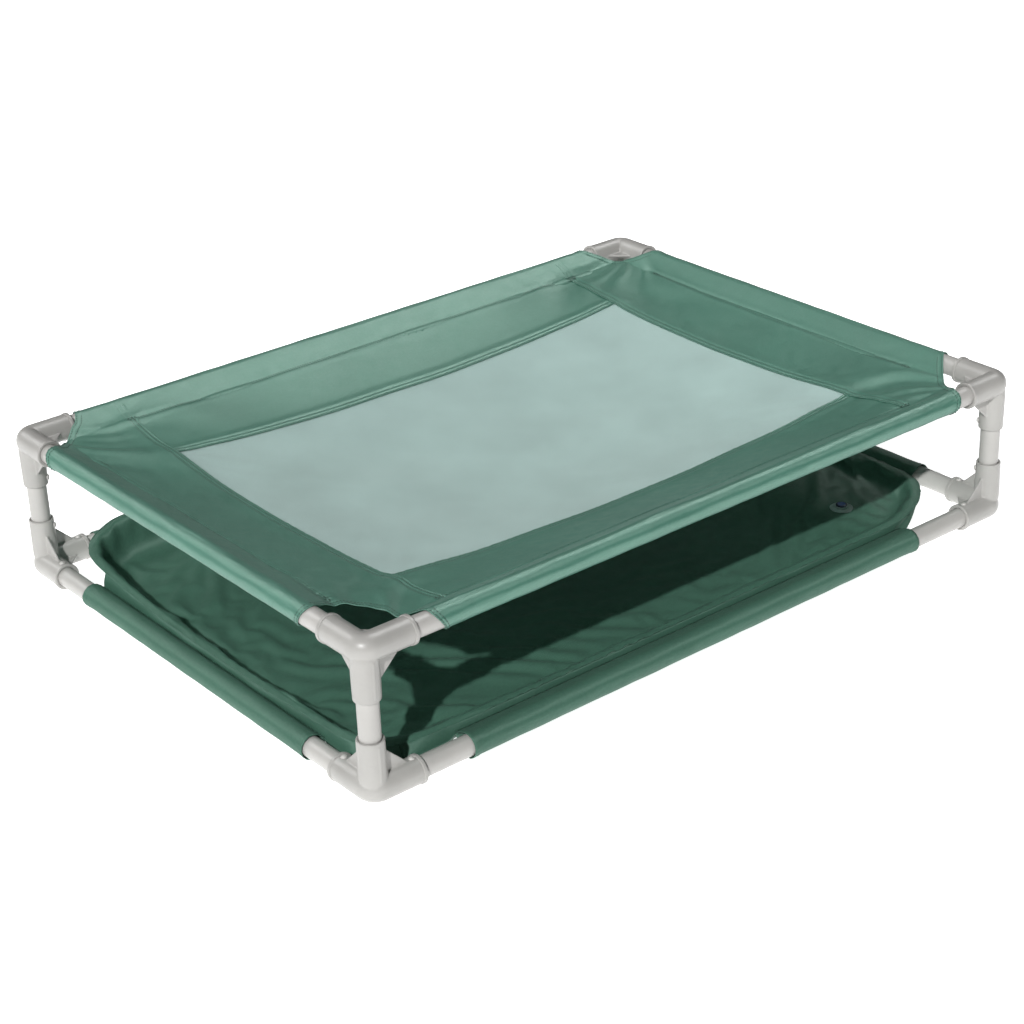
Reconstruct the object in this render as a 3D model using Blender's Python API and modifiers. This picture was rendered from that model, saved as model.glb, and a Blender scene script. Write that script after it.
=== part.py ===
"""Raised dog cot on a pipe frame, with a shallow splash basin below the deck.

Metres, +Z up.  The long sides run along X, front is -Y, and the frame stands on z = 0.
Eight equal three-way fittings join eight rails and four legs.  The deck is four vinyl
border panels round a mesh field.  The basin is a vinyl liner between four sleeves, with
a plug that lifts out of its drain.
"""
import math

import bmesh
import bpy
from mathutils import Matrix, Vector

# Pipe frame
PIPE_R = 0.01335
PIPE_WALL = 0.0029
FRAME_LENGTH = 1.065          # rail axis to rail axis, along X
FRAME_WIDTH = 0.766           # rail axis to rail axis, along Y
FRAME_RISE = 0.183            # lower rail axis to upper rail axis
GAP = 0.0003                  # clearance between pieces that touch
MERGE = 0.00001               # points this close are one
SIDES = 16

# Three-way fitting, measured from the crossing of its rail axes
SOCKET_R = 0.0174
MOUTH = 0.0655
BEAD_R = 0.0184
BEAD_WIDTH = 0.005
SWEEP_R = 0.020               # centre line of the bend between the two rail sockets
LEG_INSET = 0.0034            # the leg stands this far inside both rail axes
LEG_SOCKET_FOOT_R = 0.0180
LEG_SOCKET_MOUTH_R = 0.0168
BORE_R = PIPE_R + GAP
PIPE_STOP = 0.026
PASSAGE_R = 0.0095
PASSAGE_SIDES = 8
WEB_THICKNESS = 0.003
WEB_ROOT = 0.008              # where the webs start, inside the sockets' walls
WEB_FOOT = 0.049              # where a web runs out along a rail socket
WEB_TOP = 0.045               # where a web runs out up the leg socket
WEB_SINK = 0.0006             # a web's edge ends this far inside a socket's wall
CUT_PAST = 0.002              # a bore's cutter runs this far past the mouth
LOWER_Z = BEAD_R * math.cos(math.pi / SIDES)
UPPER_Z = LOWER_Z + FRAME_RISE

# Locking screws, one through each socket into its pipe
SCREW_AT = 0.0555
SCREW_HEAD_R = 0.0040
SCREW_HEAD_RISE = 0.0022
SCREW_R = 0.0016
SCREW_HOLE_R = 0.0020
SCREW_TIP_R = 0.0092          # how far the tip stays from the pipe's axis
SCREW_SIDES = 8
HOLE_PAST_TIP = 0.05          # a screw hole's overrun, as shares of the screw's length
HOLE_PAST_HEAD = 0.3

# Cloth
CLOTH = 0.001
SLEEVE_INNER_R = PIPE_R + GAP
SLEEVE_OUTER_R = SLEEVE_INNER_R + CLOTH
SEAM_GAP = 0.0008

# Deck
HEM_IN = 0.037                # sleeve stitching, inside the rail axis
HEM_DROP = 0.003
LIP = 0.004                   # how far the sleeve's sewn lip runs past the stitching
SLEEVE_SHORT = 0.0012         # a sleeve stops this far before a panel's seam
DECK_SAG = 0.061
DECK_FLATNESS = 2.3           # 2 is a plain parabola; more keeps the middle flatter
BORDER = 0.145                # rail axis to the mesh field
FIELD_X = FRAME_LENGTH / 2 - BORDER
FIELD_Y = FRAME_WIDTH / 2 - BORDER
# Cut edge of the deck at each corner, from the short rail's axis to the long one's, as
# distances in from the corner along X and along Y
DECK_EDGE = {
    "front_left": [(0.0, 0.096), (0.020, 0.106), (0.040, 0.110), (0.055, 0.106),
                   (0.065, 0.092), (0.0715, 0.068), (0.0735, 0.045), (0.089, 0.0)],
    "front_right": [(0.0, 0.088), (0.032, 0.067), (0.049, 0.051), (0.067, 0.025), (0.087, 0.0)],
    "back_left": [(0.0, 0.077), (0.0175, 0.0665), (0.038, 0.038), (0.0665, 0.0175), (0.072, 0.0)],
    "back_right": [(0.0, 0.081), (0.0175, 0.0665), (0.040, 0.042), (0.0665, 0.0175), (0.081, 0.0)],
}
SLEEVE_START = 0.030          # sleeves are cut back from here to the deck's cut edge

# Basin
BASIN_HEM_IN = 0.0195
BASIN_HEM_DROP = 0.004
LINER_EDGE = BASIN_HEM_IN + 0.0012
RIDGE_IN = 0.034
RIDGE_RISE = 0.022
BASIN_FLOOR = -0.011          # middle of the liner, from the lower rail axis
RIDGE_SPREAD = 0.028
# Open rail at each corner, from the rail axes to the sleeve: on the long rail, on the short rail
BASIN_OPEN = {
    "front_left": (0.136, 0.120),
    "front_right": (0.163, 0.126),
    "back_left": (0.080, 0.135),
    "back_right": (0.110, 0.110),
}
# Where the cut across each corner of the liner meets its hem, measured in the same way
LINER_CUT = {
    "front_left": (0.078, 0.072),
    "front_right": (0.163, 0.126),
    "back_left": (0.080, 0.105),
    "back_right": (0.110, 0.110),
}

# Drain
DRAIN = Vector((0.389, -0.238, LOWER_Z + BASIN_FLOOR))
DRAIN_HOLE_R = 0.0100
SEAT_NECK_R = 0.0095
SEAT_BORE_R = 0.0070
SEAT_FLANGE_R = 0.0165
SEAT_FLANGE = 0.0012
SEAT_COLLAR_R = 0.0093
SEAT_COLLAR_RISE = 0.0030
SEAT_NECK_DROP = 0.0035
PLUG_R = 0.0066
PLUG_HEAD_R = 0.0078
PLUG_HEAD = 0.0020
PLUG_DEPTH = 0.0058
PLUG_WALL = 0.0016
DRAIN_CUT = 0.005             # half the height of the hole's cutter

CORNERS = {
    "front_left": (-1, -1),
    "front_right": (1, -1),
    "back_left": (-1, 1),
    "back_right": (1, 1),
}

METALLIC = 0.0                # every piece is plastic, vinyl or rubber
COLOURS = {                   # colour, roughness
    "pipe": ((0.58, 0.58, 0.55), 0.45),
    "fitting": ((0.50, 0.50, 0.47), 0.40),
    "vinyl": ((0.12, 0.25, 0.19), 0.38),
    "mesh": ((0.33, 0.46, 0.42), 0.70),
    "liner": ((0.12, 0.22, 0.17), 0.45),
    "screw": ((0.60, 0.60, 0.58), 0.35),
    "seat": ((0.55, 0.58, 0.60), 0.40),
    "plug": ((0.06, 0.10, 0.30), 0.35),
}


def clear_scene():
    for old in list(bpy.data.objects):
        bpy.data.objects.remove(old)


def collection(name):
    made = bpy.data.collections.new(name)
    bpy.context.scene.collection.children.link(made)
    return made


def finish_for(name, kind):
    """A material of its own for one sub-part."""
    colour, roughness = COLOURS[kind]
    made = bpy.data.materials.new(name)
    made.use_nodes = True
    shader = made.node_tree.nodes["Principled BSDF"]
    shader.inputs["Base Color"].default_value = (*colour, 1.0)
    shader.inputs["Roughness"].default_value = roughness
    shader.inputs["Metallic"].default_value = METALLIC
    return made


def add_object(name, mesh, where):
    made = bpy.data.objects.new(name, mesh)
    where.objects.link(made)
    return made


def add_part(name, mesh, kind):
    made = add_object(name, mesh, PARTS)
    made.data.materials.clear()
    made.data.materials.append(finish_for(name, kind))
    return made


def hide_cutter(cutter):
    cutter.hide_render = True
    cutter.display_type = "WIRE"
    return cutter


def round_off(mesh):
    mesh.shade_smooth()
    mesh.set_sharp_from_angle(angle=math.radians(35))


def boolean(target, tool, operation):
    cut = target.modifiers.new(tool.name, "BOOLEAN")
    cut.operation = operation
    cut.solver = "EXACT"
    cut.object = tool


def settle(source):
    """The source's mesh with its modifiers applied; the source itself is removed."""
    bpy.context.view_layer.update()
    graph = bpy.context.evaluated_depsgraph_get()
    mesh = bpy.data.meshes.new_from_object(source.evaluated_get(graph))
    bpy.data.objects.remove(source)
    return mesh


def combined(body, added=(), cutters=()):
    """The body joined with the added shapes and cut, as a mesh; all of them are removed."""
    for tool in added:
        boolean(body, tool, "UNION")
    for tool in cutters:
        boolean(body, tool, "DIFFERENCE")
    mesh = settle(body)
    for tool in (*added, *cutters):
        bpy.data.objects.remove(tool)
    return mesh


def mesh_of(bm, name):
    mesh = bpy.data.meshes.new(name)
    bm.to_mesh(mesh)
    bm.free()
    return mesh


def weld(mesh):
    """Closes a mesh whose caps are loose."""
    bm = bmesh.new()
    bm.from_mesh(mesh)
    bmesh.ops.remove_doubles(bm, verts=bm.verts, dist=MERGE)
    bmesh.ops.recalc_face_normals(bm, faces=bm.faces)
    bm.to_mesh(mesh)
    bm.free()
    return mesh


def rod_between(bm, start, end, radius_start, radius_end, sides, turn=0.0):
    """Adds a closed cone or cylinder between two points, turned about its own axis."""
    start, end = Vector(start), Vector(end)
    axis = end - start
    place = (Matrix.Translation((start + end) / 2)
             @ axis.to_track_quat("Z", "Y").to_matrix().to_4x4()
             @ Matrix.Rotation(turn, 4, "Z"))
    bmesh.ops.create_cone(bm, cap_ends=True, segments=sides, radius1=radius_start,
                          radius2=radius_end, depth=axis.length, matrix=place)


def rod(name, start, end, radius, sides=SIDES, turn=0.0, radius_end=None):
    bm = bmesh.new()
    far = radius if radius_end is None else radius_end
    rod_between(bm, start, end, radius, far, sides, turn)
    return add_object(name, mesh_of(bm, name), TOOLS)


def turned(name, profile, sides, hollow=True):
    """A profile of (radius, z) points turned about Z; its outer side runs down.

    A hollow shape's profile is a closed loop.  A solid one's starts and ends on the axis.
    """
    bm = bmesh.new()
    points = [bm.verts.new((radius, 0, z)) for radius, z in profile]
    if hollow:
        points.append(points[0])
    for here, there in zip(points, points[1:]):
        bm.edges.new((here, there))
    made = add_object(name, mesh_of(bm, name), TOOLS)
    screw = made.modifiers.new("Turn", "SCREW")
    screw.axis = "Z"
    screw.angle = 2 * math.pi
    screw.steps = sides
    screw.render_steps = sides
    screw.use_merge_vertices = True
    screw.merge_threshold = MERGE
    return settle(made)


def plate(name, outline, thickness, place):
    """A flat plate with the given outline, its thickness centred on the outline's plane."""
    bm = bmesh.new()
    face = bm.faces.new([bm.verts.new((*corner, -thickness / 2)) for corner in outline])
    lifted = bmesh.ops.extrude_face_region(bm, geom=[face])
    raised = [item for item in lifted["geom"] if isinstance(item, bmesh.types.BMVert)]
    bmesh.ops.translate(bm, verts=raised, vec=(0, 0, thickness))
    bmesh.ops.recalc_face_normals(bm, faces=bm.faces)
    bmesh.ops.transform(bm, matrix=place, verts=bm.verts)
    return add_object(name, mesh_of(bm, name), TOOLS)


# ---------------------------------------------------------------- fittings

def sweep_points(reach, steps=4):
    """Centre line of the bend from the X socket to the Y socket."""
    points = [Vector((reach, 0, 0))]
    for step in range(steps + 1):
        angle = math.pi / 2 * step / steps
        points.append(Vector((SWEEP_R * (1 - math.sin(angle)), SWEEP_R * (1 - math.cos(angle)), 0)))
    points.append(Vector((0, reach, 0)))
    return points


def swept_tube(name, points, radius, sides=SIDES):
    curve = bpy.data.curves.new(name, "CURVE")
    curve.dimensions = "3D"
    spline = curve.splines.new("POLY")
    spline.points.add(len(points) - 1)
    for slot, point in zip(spline.points, points):
        slot.co = (*point, 1)
    curve.bevel_depth = radius
    curve.bevel_resolution = (sides - 4) // 2
    curve.use_fill_caps = True
    mesh = weld(settle(add_object(name, curve, TOOLS)))
    return add_object(name, mesh, TOOLS)


def screw_lines():
    """Head seat and tip of each locking screw of one fitting: two rail sockets and the leg's."""
    leg = Vector((LEG_INSET, LEG_INSET, SCREW_AT))
    inward = Vector((1, 1, 0)).normalized()
    return {
        "a": (Vector((SCREW_AT, 0, SOCKET_R)), Vector((SCREW_AT, 0, SCREW_TIP_R))),
        "b": (Vector((0, SCREW_AT, SOCKET_R)), Vector((0, SCREW_AT, SCREW_TIP_R))),
        "leg": (leg + inward * SOCKET_R, leg + inward * SCREW_TIP_R),
    }


def fitting_mesh():
    """The three-way fitting, with its sockets along +X, +Y and +Z."""
    facet = math.pi / SIDES
    leg_foot = (LEG_INSET, LEG_INSET, 0)
    leg_stop = (LEG_INSET, LEG_INSET, PIPE_STOP)
    leg_mouth = (LEG_INSET, LEG_INSET, MOUTH)
    bead_start = MOUTH - BEAD_WIDTH
    buried = SOCKET_R - WEB_SINK
    rail_web = [(WEB_ROOT, WEB_ROOT), (WEB_FOOT, WEB_ROOT), (WEB_FOOT, buried),
                (LEG_INSET + buried, WEB_TOP), (WEB_ROOT, WEB_TOP)]
    corner_web = [(WEB_ROOT, WEB_ROOT), (WEB_FOOT, WEB_ROOT), (WEB_FOOT, buried),
                  (buried, WEB_FOOT), (WEB_ROOT, WEB_FOOT)]
    upright = Matrix.Rotation(math.pi / 2, 4, "X")
    along_y = Matrix.Rotation(math.pi / 2, 4, "Z") @ upright
    added = [
        rod("leg_socket", leg_foot, leg_mouth, LEG_SOCKET_FOOT_R, turn=facet,
            radius_end=LEG_SOCKET_MOUTH_R),
        rod("bead_x", (bead_start, 0, 0), (MOUTH, 0, 0), BEAD_R, turn=facet),
        rod("bead_y", (0, bead_start, 0), (0, MOUTH, 0), BEAD_R, turn=facet),
        plate("web_x", rail_web, WEB_THICKNESS, upright),
        plate("web_y", rail_web, WEB_THICKNESS, along_y),
        plate("web_corner", corner_web, WEB_THICKNESS, Matrix.Identity(4)),
    ]
    shell = swept_tube("sweep", sweep_points(MOUTH), SOCKET_R)
    body = add_object("fitting_body", combined(shell, added), TOOLS)

    outside = MOUTH + CUT_PAST
    into_bore = PIPE_STOP + CUT_PAST / 2
    cutters = [
        swept_tube("passage", sweep_points(into_bore), PASSAGE_R, PASSAGE_SIDES),
        rod("bore_x", (PIPE_STOP, 0, 0), (outside, 0, 0), BORE_R),
        rod("bore_y", (0, PIPE_STOP, 0), (0, outside, 0), BORE_R),
        rod("leg_passage", leg_foot, (LEG_INSET, LEG_INSET, into_bore), PASSAGE_R,
            PASSAGE_SIDES),
        rod("leg_bore", leg_stop, (LEG_INSET, LEG_INSET, outside), BORE_R),
    ]
    for socket, (head, tip) in screw_lines().items():
        beyond = head + (head - tip) * HOLE_PAST_HEAD
        cutters.append(rod(f"screw_hole_{socket}", tip, beyond, SCREW_HOLE_R, SCREW_SIDES))
    mesh = combined(body, cutters=cutters)
    mesh.name = "three_way_fitting"
    round_off(mesh)
    return mesh


def fitting_place(corner, upper):
    """Where the fitting's frame stands: its sockets face along the rails and the leg."""
    sx, sy = CORNERS[corner]
    spot = Vector((sx * FRAME_LENGTH / 2, sy * FRAME_WIDTH / 2, UPPER_Z if upper else LOWER_Z))
    turns = {(-1, -1): 0, (1, -1): 1, (1, 1): 2, (-1, 1): 3}[(sx, sy)]
    place = Matrix.Rotation(math.pi / 2 * turns, 4, "Z")
    if upper:
        place = place @ Matrix.Rotation(math.pi / 2, 4, "Z") @ Matrix.Rotation(math.pi, 4, "X")
    return Matrix.Translation(spot) @ place


def add_fittings():
    mesh = fitting_mesh()
    for corner in CORNERS:
        for upper, level in ((False, "lower"), (True, "upper")):
            name = f"{level}_corner_{corner}"
            made = add_part(name, mesh.copy(), "fitting")
            made.matrix_world = fitting_place(corner, upper)


# ---------------------------------------------------------------- screws

def one_screw():
    """A dome-headed screw along Z, its head resting just above z = 0."""
    tip = SCREW_TIP_R - SOCKET_R
    dome = GAP + SCREW_HEAD_RISE
    mesh = turned("screw", [
        (0.0, dome), (SCREW_HEAD_R * 0.55, GAP + SCREW_HEAD_RISE * 0.85),
        (SCREW_HEAD_R, GAP + SCREW_HEAD_RISE * 0.25), (SCREW_HEAD_R, GAP),
        (SCREW_R, GAP), (SCREW_R, tip + SCREW_R), (0.0, tip)], SCREW_SIDES, hollow=False)
    round_off(mesh)
    return mesh


def add_screws():
    shape = one_screw()
    for upper, level in ((False, "lower"), (True, "upper")):
        for corner in CORNERS:
            place = fitting_place(corner, upper)
            for socket, (head, tip) in screw_lines().items():
                aim = (head - tip).to_track_quat("Z", "Y").to_matrix().to_4x4()
                made = add_part(f"screw_{level}_{corner}_{socket}", shape.copy(), "screw")
                made.matrix_world = place @ Matrix.Translation(head) @ aim


# ---------------------------------------------------------------- pipes

def tube_mesh(name, length):
    half = length / 2
    inner = PIPE_R - PIPE_WALL
    return turned(name, [(PIPE_R, half), (PIPE_R, -half), (inner, -half), (inner, half)], SIDES)


def screw_cutters():
    """All the screw holes of the pipes, as one set of cutters."""
    bm = bmesh.new()
    for corner in CORNERS:
        for upper in (False, True):
            place = fitting_place(corner, upper)
            for head, tip in screw_lines().values():
                deeper = tip + (tip - head) * HOLE_PAST_TIP
                rod_between(bm, place @ deeper, place @ head, SCREW_HOLE_R, SCREW_HOLE_R,
                            SCREW_SIDES)
    return hide_cutter(add_object("screw_holes", mesh_of(bm, "screw_holes"), TOOLS))


def add_pipe(name, centre, axis, length, holes):
    mesh = tube_mesh(name, length)
    round_off(mesh)
    made = add_part(name, mesh, "pipe")
    turn = axis.to_track_quat("Z", "Y").to_matrix().to_4x4()
    made.matrix_world = Matrix.Translation(centre) @ turn
    boolean(made, holes, "DIFFERENCE")


def add_pipes():
    holes = screw_cutters()
    inside = PIPE_STOP + GAP
    long_rail = FRAME_LENGTH - 2 * inside
    short_rail = FRAME_WIDTH - 2 * inside
    for level, z in (("lower", LOWER_Z), ("upper", UPPER_Z)):
        for side, sign in (("front", -1), ("back", 1)):
            spot = Vector((0, sign * FRAME_WIDTH / 2, z))
            add_pipe(f"{level}_rail_{side}", spot, Vector((1, 0, 0)), long_rail, holes)
        for side, sign in (("left", -1), ("right", 1)):
            spot = Vector((sign * FRAME_LENGTH / 2, 0, z))
            add_pipe(f"{level}_rail_{side}", spot, Vector((0, 1, 0)), short_rail, holes)
    for corner, (sx, sy) in CORNERS.items():
        spot = Vector((sx * (FRAME_LENGTH / 2 - LEG_INSET), sy * (FRAME_WIDTH / 2 - LEG_INSET),
                       LOWER_Z + FRAME_RISE / 2))
        add_pipe(f"leg_{corner}", spot, Vector((0, 0, 1)), FRAME_RISE - 2 * inside, holes)


# ---------------------------------------------------------------- cloth

def teardrop(radius, apex, steps=18):
    """A loop round a pipe that closes in a point at the apex, inward and a little down.

    Points are (inward, up) from the pipe's axis.
    """
    tip = Vector(apex)
    away = math.atan2(tip.y, tip.x)
    spread = math.acos(radius / tip.length)
    points = [tip]
    for step in range(steps + 1):
        angle = away + spread + (2 * math.pi - 2 * spread) * step / steps
        points.append(Vector((radius * math.cos(angle), radius * math.sin(angle))))
    return points


def sleeve(name, outer_apex, inner_apex, side, start, end, z):
    """A cloth sleeve round the rail on one side, open at both ends, from start to end."""
    curve = bpy.data.curves.new(name, "CURVE")
    curve.dimensions = "2D"
    curve.fill_mode = "BOTH"
    curve.extrude = (end - start) / 2
    loops = (teardrop(SLEEVE_OUTER_R, outer_apex), teardrop(SLEEVE_INNER_R, inner_apex))
    for loop in loops:
        spline = curve.splines.new("POLY")
        spline.points.add(len(loop) - 1)
        for slot, point in zip(spline.points, loop):
            slot.co = (point.x, point.y, 0, 1)
        spline.use_cyclic_u = True
    mesh = weld(settle(add_object(name, curve, TOOLS)))
    middle = (start + end) / 2
    inward, along, centre = {
        "front": (Vector((0, 1, 0)), Vector((1, 0, 0)), Vector((middle, -FRAME_WIDTH / 2, z))),
        "back": (Vector((0, -1, 0)), Vector((-1, 0, 0)), Vector((middle, FRAME_WIDTH / 2, z))),
        "left": (Vector((1, 0, 0)), Vector((0, -1, 0)), Vector((-FRAME_LENGTH / 2, middle, z))),
        "right": (Vector((-1, 0, 0)), Vector((0, 1, 0)), Vector((FRAME_LENGTH / 2, middle, z))),
    }[side]
    turn = Matrix((inward, Vector((0, 0, 1)), along)).transposed().to_4x4()
    mesh.transform(Matrix.Translation(centre) @ turn)
    weld(mesh)
    round_off(mesh)
    return mesh


def sheet(name, columns, bounds, rows, height):
    """A cloth sheet over columns of x; bounds(x) gives its y range and rows its fractions."""
    bm = bmesh.new()
    grid = []
    for x in columns:
        low, high = bounds(x)
        ys = [low + (high - low) * row for row in rows]
        grid.append([bm.verts.new((x, y, height(x, y))) for y in ys])
    for near, far in zip(grid, grid[1:]):
        for row in range(len(rows) - 1):
            bm.faces.new((near[row], far[row], far[row + 1], near[row + 1]))
    made = add_object(name, mesh_of(bm, name), TOOLS)
    thicken = made.modifiers.new("Cloth", "SOLIDIFY")
    thicken.thickness = CLOTH
    thicken.offset = 0
    mesh = settle(made)
    round_off(mesh)
    return mesh


def even(count):
    return [step / count for step in range(count + 1)]


def span(start, end, count):
    return [start + (end - start) * step for step in even(count)]


def deck_height(x, y):
    """Deepest in the middle, level along the sleeve stitching."""
    along = 1 - abs(x / (FRAME_LENGTH / 2 - HEM_IN)) ** DECK_FLATNESS
    across = 1 - abs(y / (FRAME_WIDTH / 2 - HEM_IN)) ** DECK_FLATNESS
    return UPPER_Z - HEM_DROP - DECK_SAG * along * across


def deck_sleeve(name, side, start, end):
    outer_apex = (HEM_IN + LIP, -HEM_DROP)
    inner_apex = (HEM_IN - LIP, -HEM_DROP)
    mesh = sleeve(name, outer_apex, inner_apex, side, start, end, UPPER_Z)
    return add_object(name, mesh, TOOLS)


def open_corner(corner):
    """A block over the open corner of the deck, bounded by the deck's cut edge."""
    sx, sy = CORNERS[corner]
    edge = DECK_EDGE[corner]
    past = -2 * SLEEVE_OUTER_R
    inward = [(past, past), (past, edge[0][1]), *edge, (edge[-1][0], past)]
    outline = [(sx * (FRAME_LENGTH / 2 - in_x), sy * (FRAME_WIDTH / 2 - in_y))
               for in_x, in_y in inward]
    return plate(f"open_{corner}", outline, 4 * SLEEVE_OUTER_R,
                 Matrix.Translation((0, 0, UPPER_Z)))


def add_short_panel(side):
    """Border panel along a short side, with its own sleeve and the ends of the long sleeves."""
    sx = -1 if side == "left" else 1
    hem_y = FRAME_WIDTH / 2 - HEM_IN
    edge = sx * (FRAME_LENGTH / 2 - HEM_IN)
    seam = sx * (FIELD_X + SEAM_GAP / 2)
    columns = sorted(span(edge, seam, 5))
    mesh = sheet("flat", columns, lambda x: (-hem_y, hem_y), even(14), deck_height)
    flat = add_object("flat", mesh, TOOLS)
    reach = FRAME_WIDTH / 2 - SLEEVE_START
    added = [deck_sleeve("own", side, -reach, reach)]
    outer = sx * (FRAME_LENGTH / 2 - SLEEVE_START)
    inner = seam + sx * SLEEVE_SHORT
    for end in ("front", "back"):
        added.append(deck_sleeve(f"stub_{end}", end, min(outer, inner), max(outer, inner)))
    corners = [open_corner(f"{end}_{side}") for end in ("front", "back")]
    mesh = combined(flat, added, corners)
    round_off(mesh)
    add_part(f"deck_panel_{side}", mesh, "vinyl")


def add_long_panel(side):
    """Border panel along a long side, between the seams of the short panels."""
    sy = -1 if side == "front" else 1
    seam = FIELD_X - SEAM_GAP / 2
    hem = sy * (FRAME_WIDTH / 2 - HEM_IN)
    field = sy * (FIELD_Y + SEAM_GAP / 2)
    low, high = min(hem, field), max(hem, field)
    flat_mesh = sheet("flat", span(-seam, seam, 14), lambda x: (low, high), even(4), deck_height)
    flat = add_object("flat", flat_mesh, TOOLS)
    reach = seam - SLEEVE_SHORT
    mesh = combined(flat, [deck_sleeve("own", side, -reach, reach)])
    round_off(mesh)
    add_part(f"deck_panel_{side}", mesh, "vinyl")


def add_deck():
    for side in ("left", "right"):
        add_short_panel(side)
    for side in ("front", "back"):
        add_long_panel(side)
    half_x = FIELD_X - SEAM_GAP / 2
    half_y = FIELD_Y - SEAM_GAP / 2
    mesh = sheet("deck_mesh", span(-half_x, half_x, 14), lambda x: (-half_y, half_y), even(10),
                 deck_height)
    add_part("deck_mesh", mesh, "mesh")


# ---------------------------------------------------------------- basin

def liner_height(x, y):
    """A puffed ridge just inside the sleeves, and a level bottom."""
    inside = min(FRAME_LENGTH / 2 - abs(x), FRAME_WIDTH / 2 - abs(y))
    if inside < RIDGE_IN:
        fall = (RIDGE_IN - inside) / (RIDGE_IN - LINER_EDGE)
        return LOWER_Z + RIDGE_RISE - (RIDGE_RISE + BASIN_HEM_DROP) * fall ** 2
    ridge = math.exp(-((inside - RIDGE_IN) / RIDGE_SPREAD) ** 2)
    return LOWER_Z + BASIN_FLOOR + (RIDGE_RISE - BASIN_FLOOR) * ridge


def liner_bounds(x):
    """The y range of the liner at x, with its four corners cut off."""
    side = "left" if x < 0 else "right"
    edge_x = FRAME_LENGTH / 2 - LINER_EDGE
    edge_y = FRAME_WIDTH / 2 - LINER_EDGE
    limits = []
    for end in ("front", "back"):
        on_long, on_short = LINER_CUT[f"{end}_{side}"]
        cut_x = FRAME_LENGTH / 2 - on_long
        cut_y = FRAME_WIDTH / 2 - on_short
        past = max(0, (abs(x) - cut_x) / (edge_x - cut_x))
        limits.append(edge_y + (cut_y - edge_y) * past)
    return -limits[0], limits[1]


def graded(half, steps_in, middle):
    """Places from -half to half that crowd towards both ends."""
    ends = [half - inside for inside in steps_in]
    core = span(-ends[-1], ends[-1], middle)
    return [-end for end in ends[:-1]] + core + ends[:-1][::-1]


def add_liner():
    edge_x = FRAME_LENGTH / 2 - LINER_EDGE
    edge_y = FRAME_WIDTH / 2 - LINER_EDGE
    steps_in = (0.0, RIDGE_IN - LINER_EDGE, 0.028, 0.044, 0.064, 0.100)
    columns = graded(edge_x, steps_in, 6)
    rows = [(y + edge_y) / (2 * edge_y) for y in graded(edge_y, steps_in, 5)]
    mesh = sheet("basin_liner", columns, liner_bounds, rows, liner_height)
    liner = add_part("basin_liner", mesh, "liner")
    up = Vector((0, 0, DRAIN_CUT))
    hole = hide_cutter(rod("drain_hole", DRAIN - up, DRAIN + up, DRAIN_HOLE_R))
    boolean(liner, hole, "DIFFERENCE")


def add_basin_sleeves():
    outer_apex = (BASIN_HEM_IN, -BASIN_HEM_DROP)
    inner_apex = (BASIN_HEM_IN - 0.0026, -BASIN_HEM_DROP + 0.0004)
    ends = {
        "front": (FRAME_LENGTH / 2, "front_left", "front_right", 0),
        "back": (FRAME_LENGTH / 2, "back_left", "back_right", 0),
        "left": (FRAME_WIDTH / 2, "front_left", "back_left", 1),
        "right": (FRAME_WIDTH / 2, "front_right", "back_right", 1),
    }
    for side, (half, first, last, rail) in ends.items():
        start = BASIN_OPEN[first][rail] - half
        end = half - BASIN_OPEN[last][rail]
        name = f"basin_sleeve_{side}"
        mesh = sleeve(name, outer_apex, inner_apex, side, start, end, LOWER_Z)
        add_part(name, mesh, "liner")


def add_drain():
    top = CLOTH / 2 + GAP
    flange_top = top + SEAT_FLANGE
    collar_top = flange_top + SEAT_COLLAR_RISE
    neck_foot = -SEAT_NECK_DROP
    seat = turned("drain_seat", [
        (SEAT_COLLAR_R, collar_top), (SEAT_COLLAR_R, flange_top), (SEAT_FLANGE_R, flange_top),
        (SEAT_FLANGE_R, top), (SEAT_NECK_R, top), (SEAT_NECK_R, neck_foot),
        (SEAT_BORE_R, neck_foot), (SEAT_BORE_R, collar_top)], SIDES)
    round_off(seat)
    add_part("drain_seat", seat, "seat").location = DRAIN

    head_foot = collar_top + GAP
    plug = turned("drain_plug", [
        (PLUG_HEAD_R, head_foot + PLUG_HEAD), (PLUG_HEAD_R, head_foot), (PLUG_R, head_foot),
        (PLUG_R, head_foot - PLUG_DEPTH), (PLUG_R - PLUG_WALL, head_foot - PLUG_DEPTH),
        (PLUG_R - PLUG_WALL, head_foot + PLUG_HEAD)], SIDES)
    round_off(plug)
    add_part("drain_plug", plug, "plug").location = DRAIN


clear_scene()
PARTS = collection("dog_cot_with_basin")
TOOLS = collection("cutters")
add_fittings()
add_screws()
add_pipes()
add_deck()
add_liner()
add_basin_sleeves()
add_drain()
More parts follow.
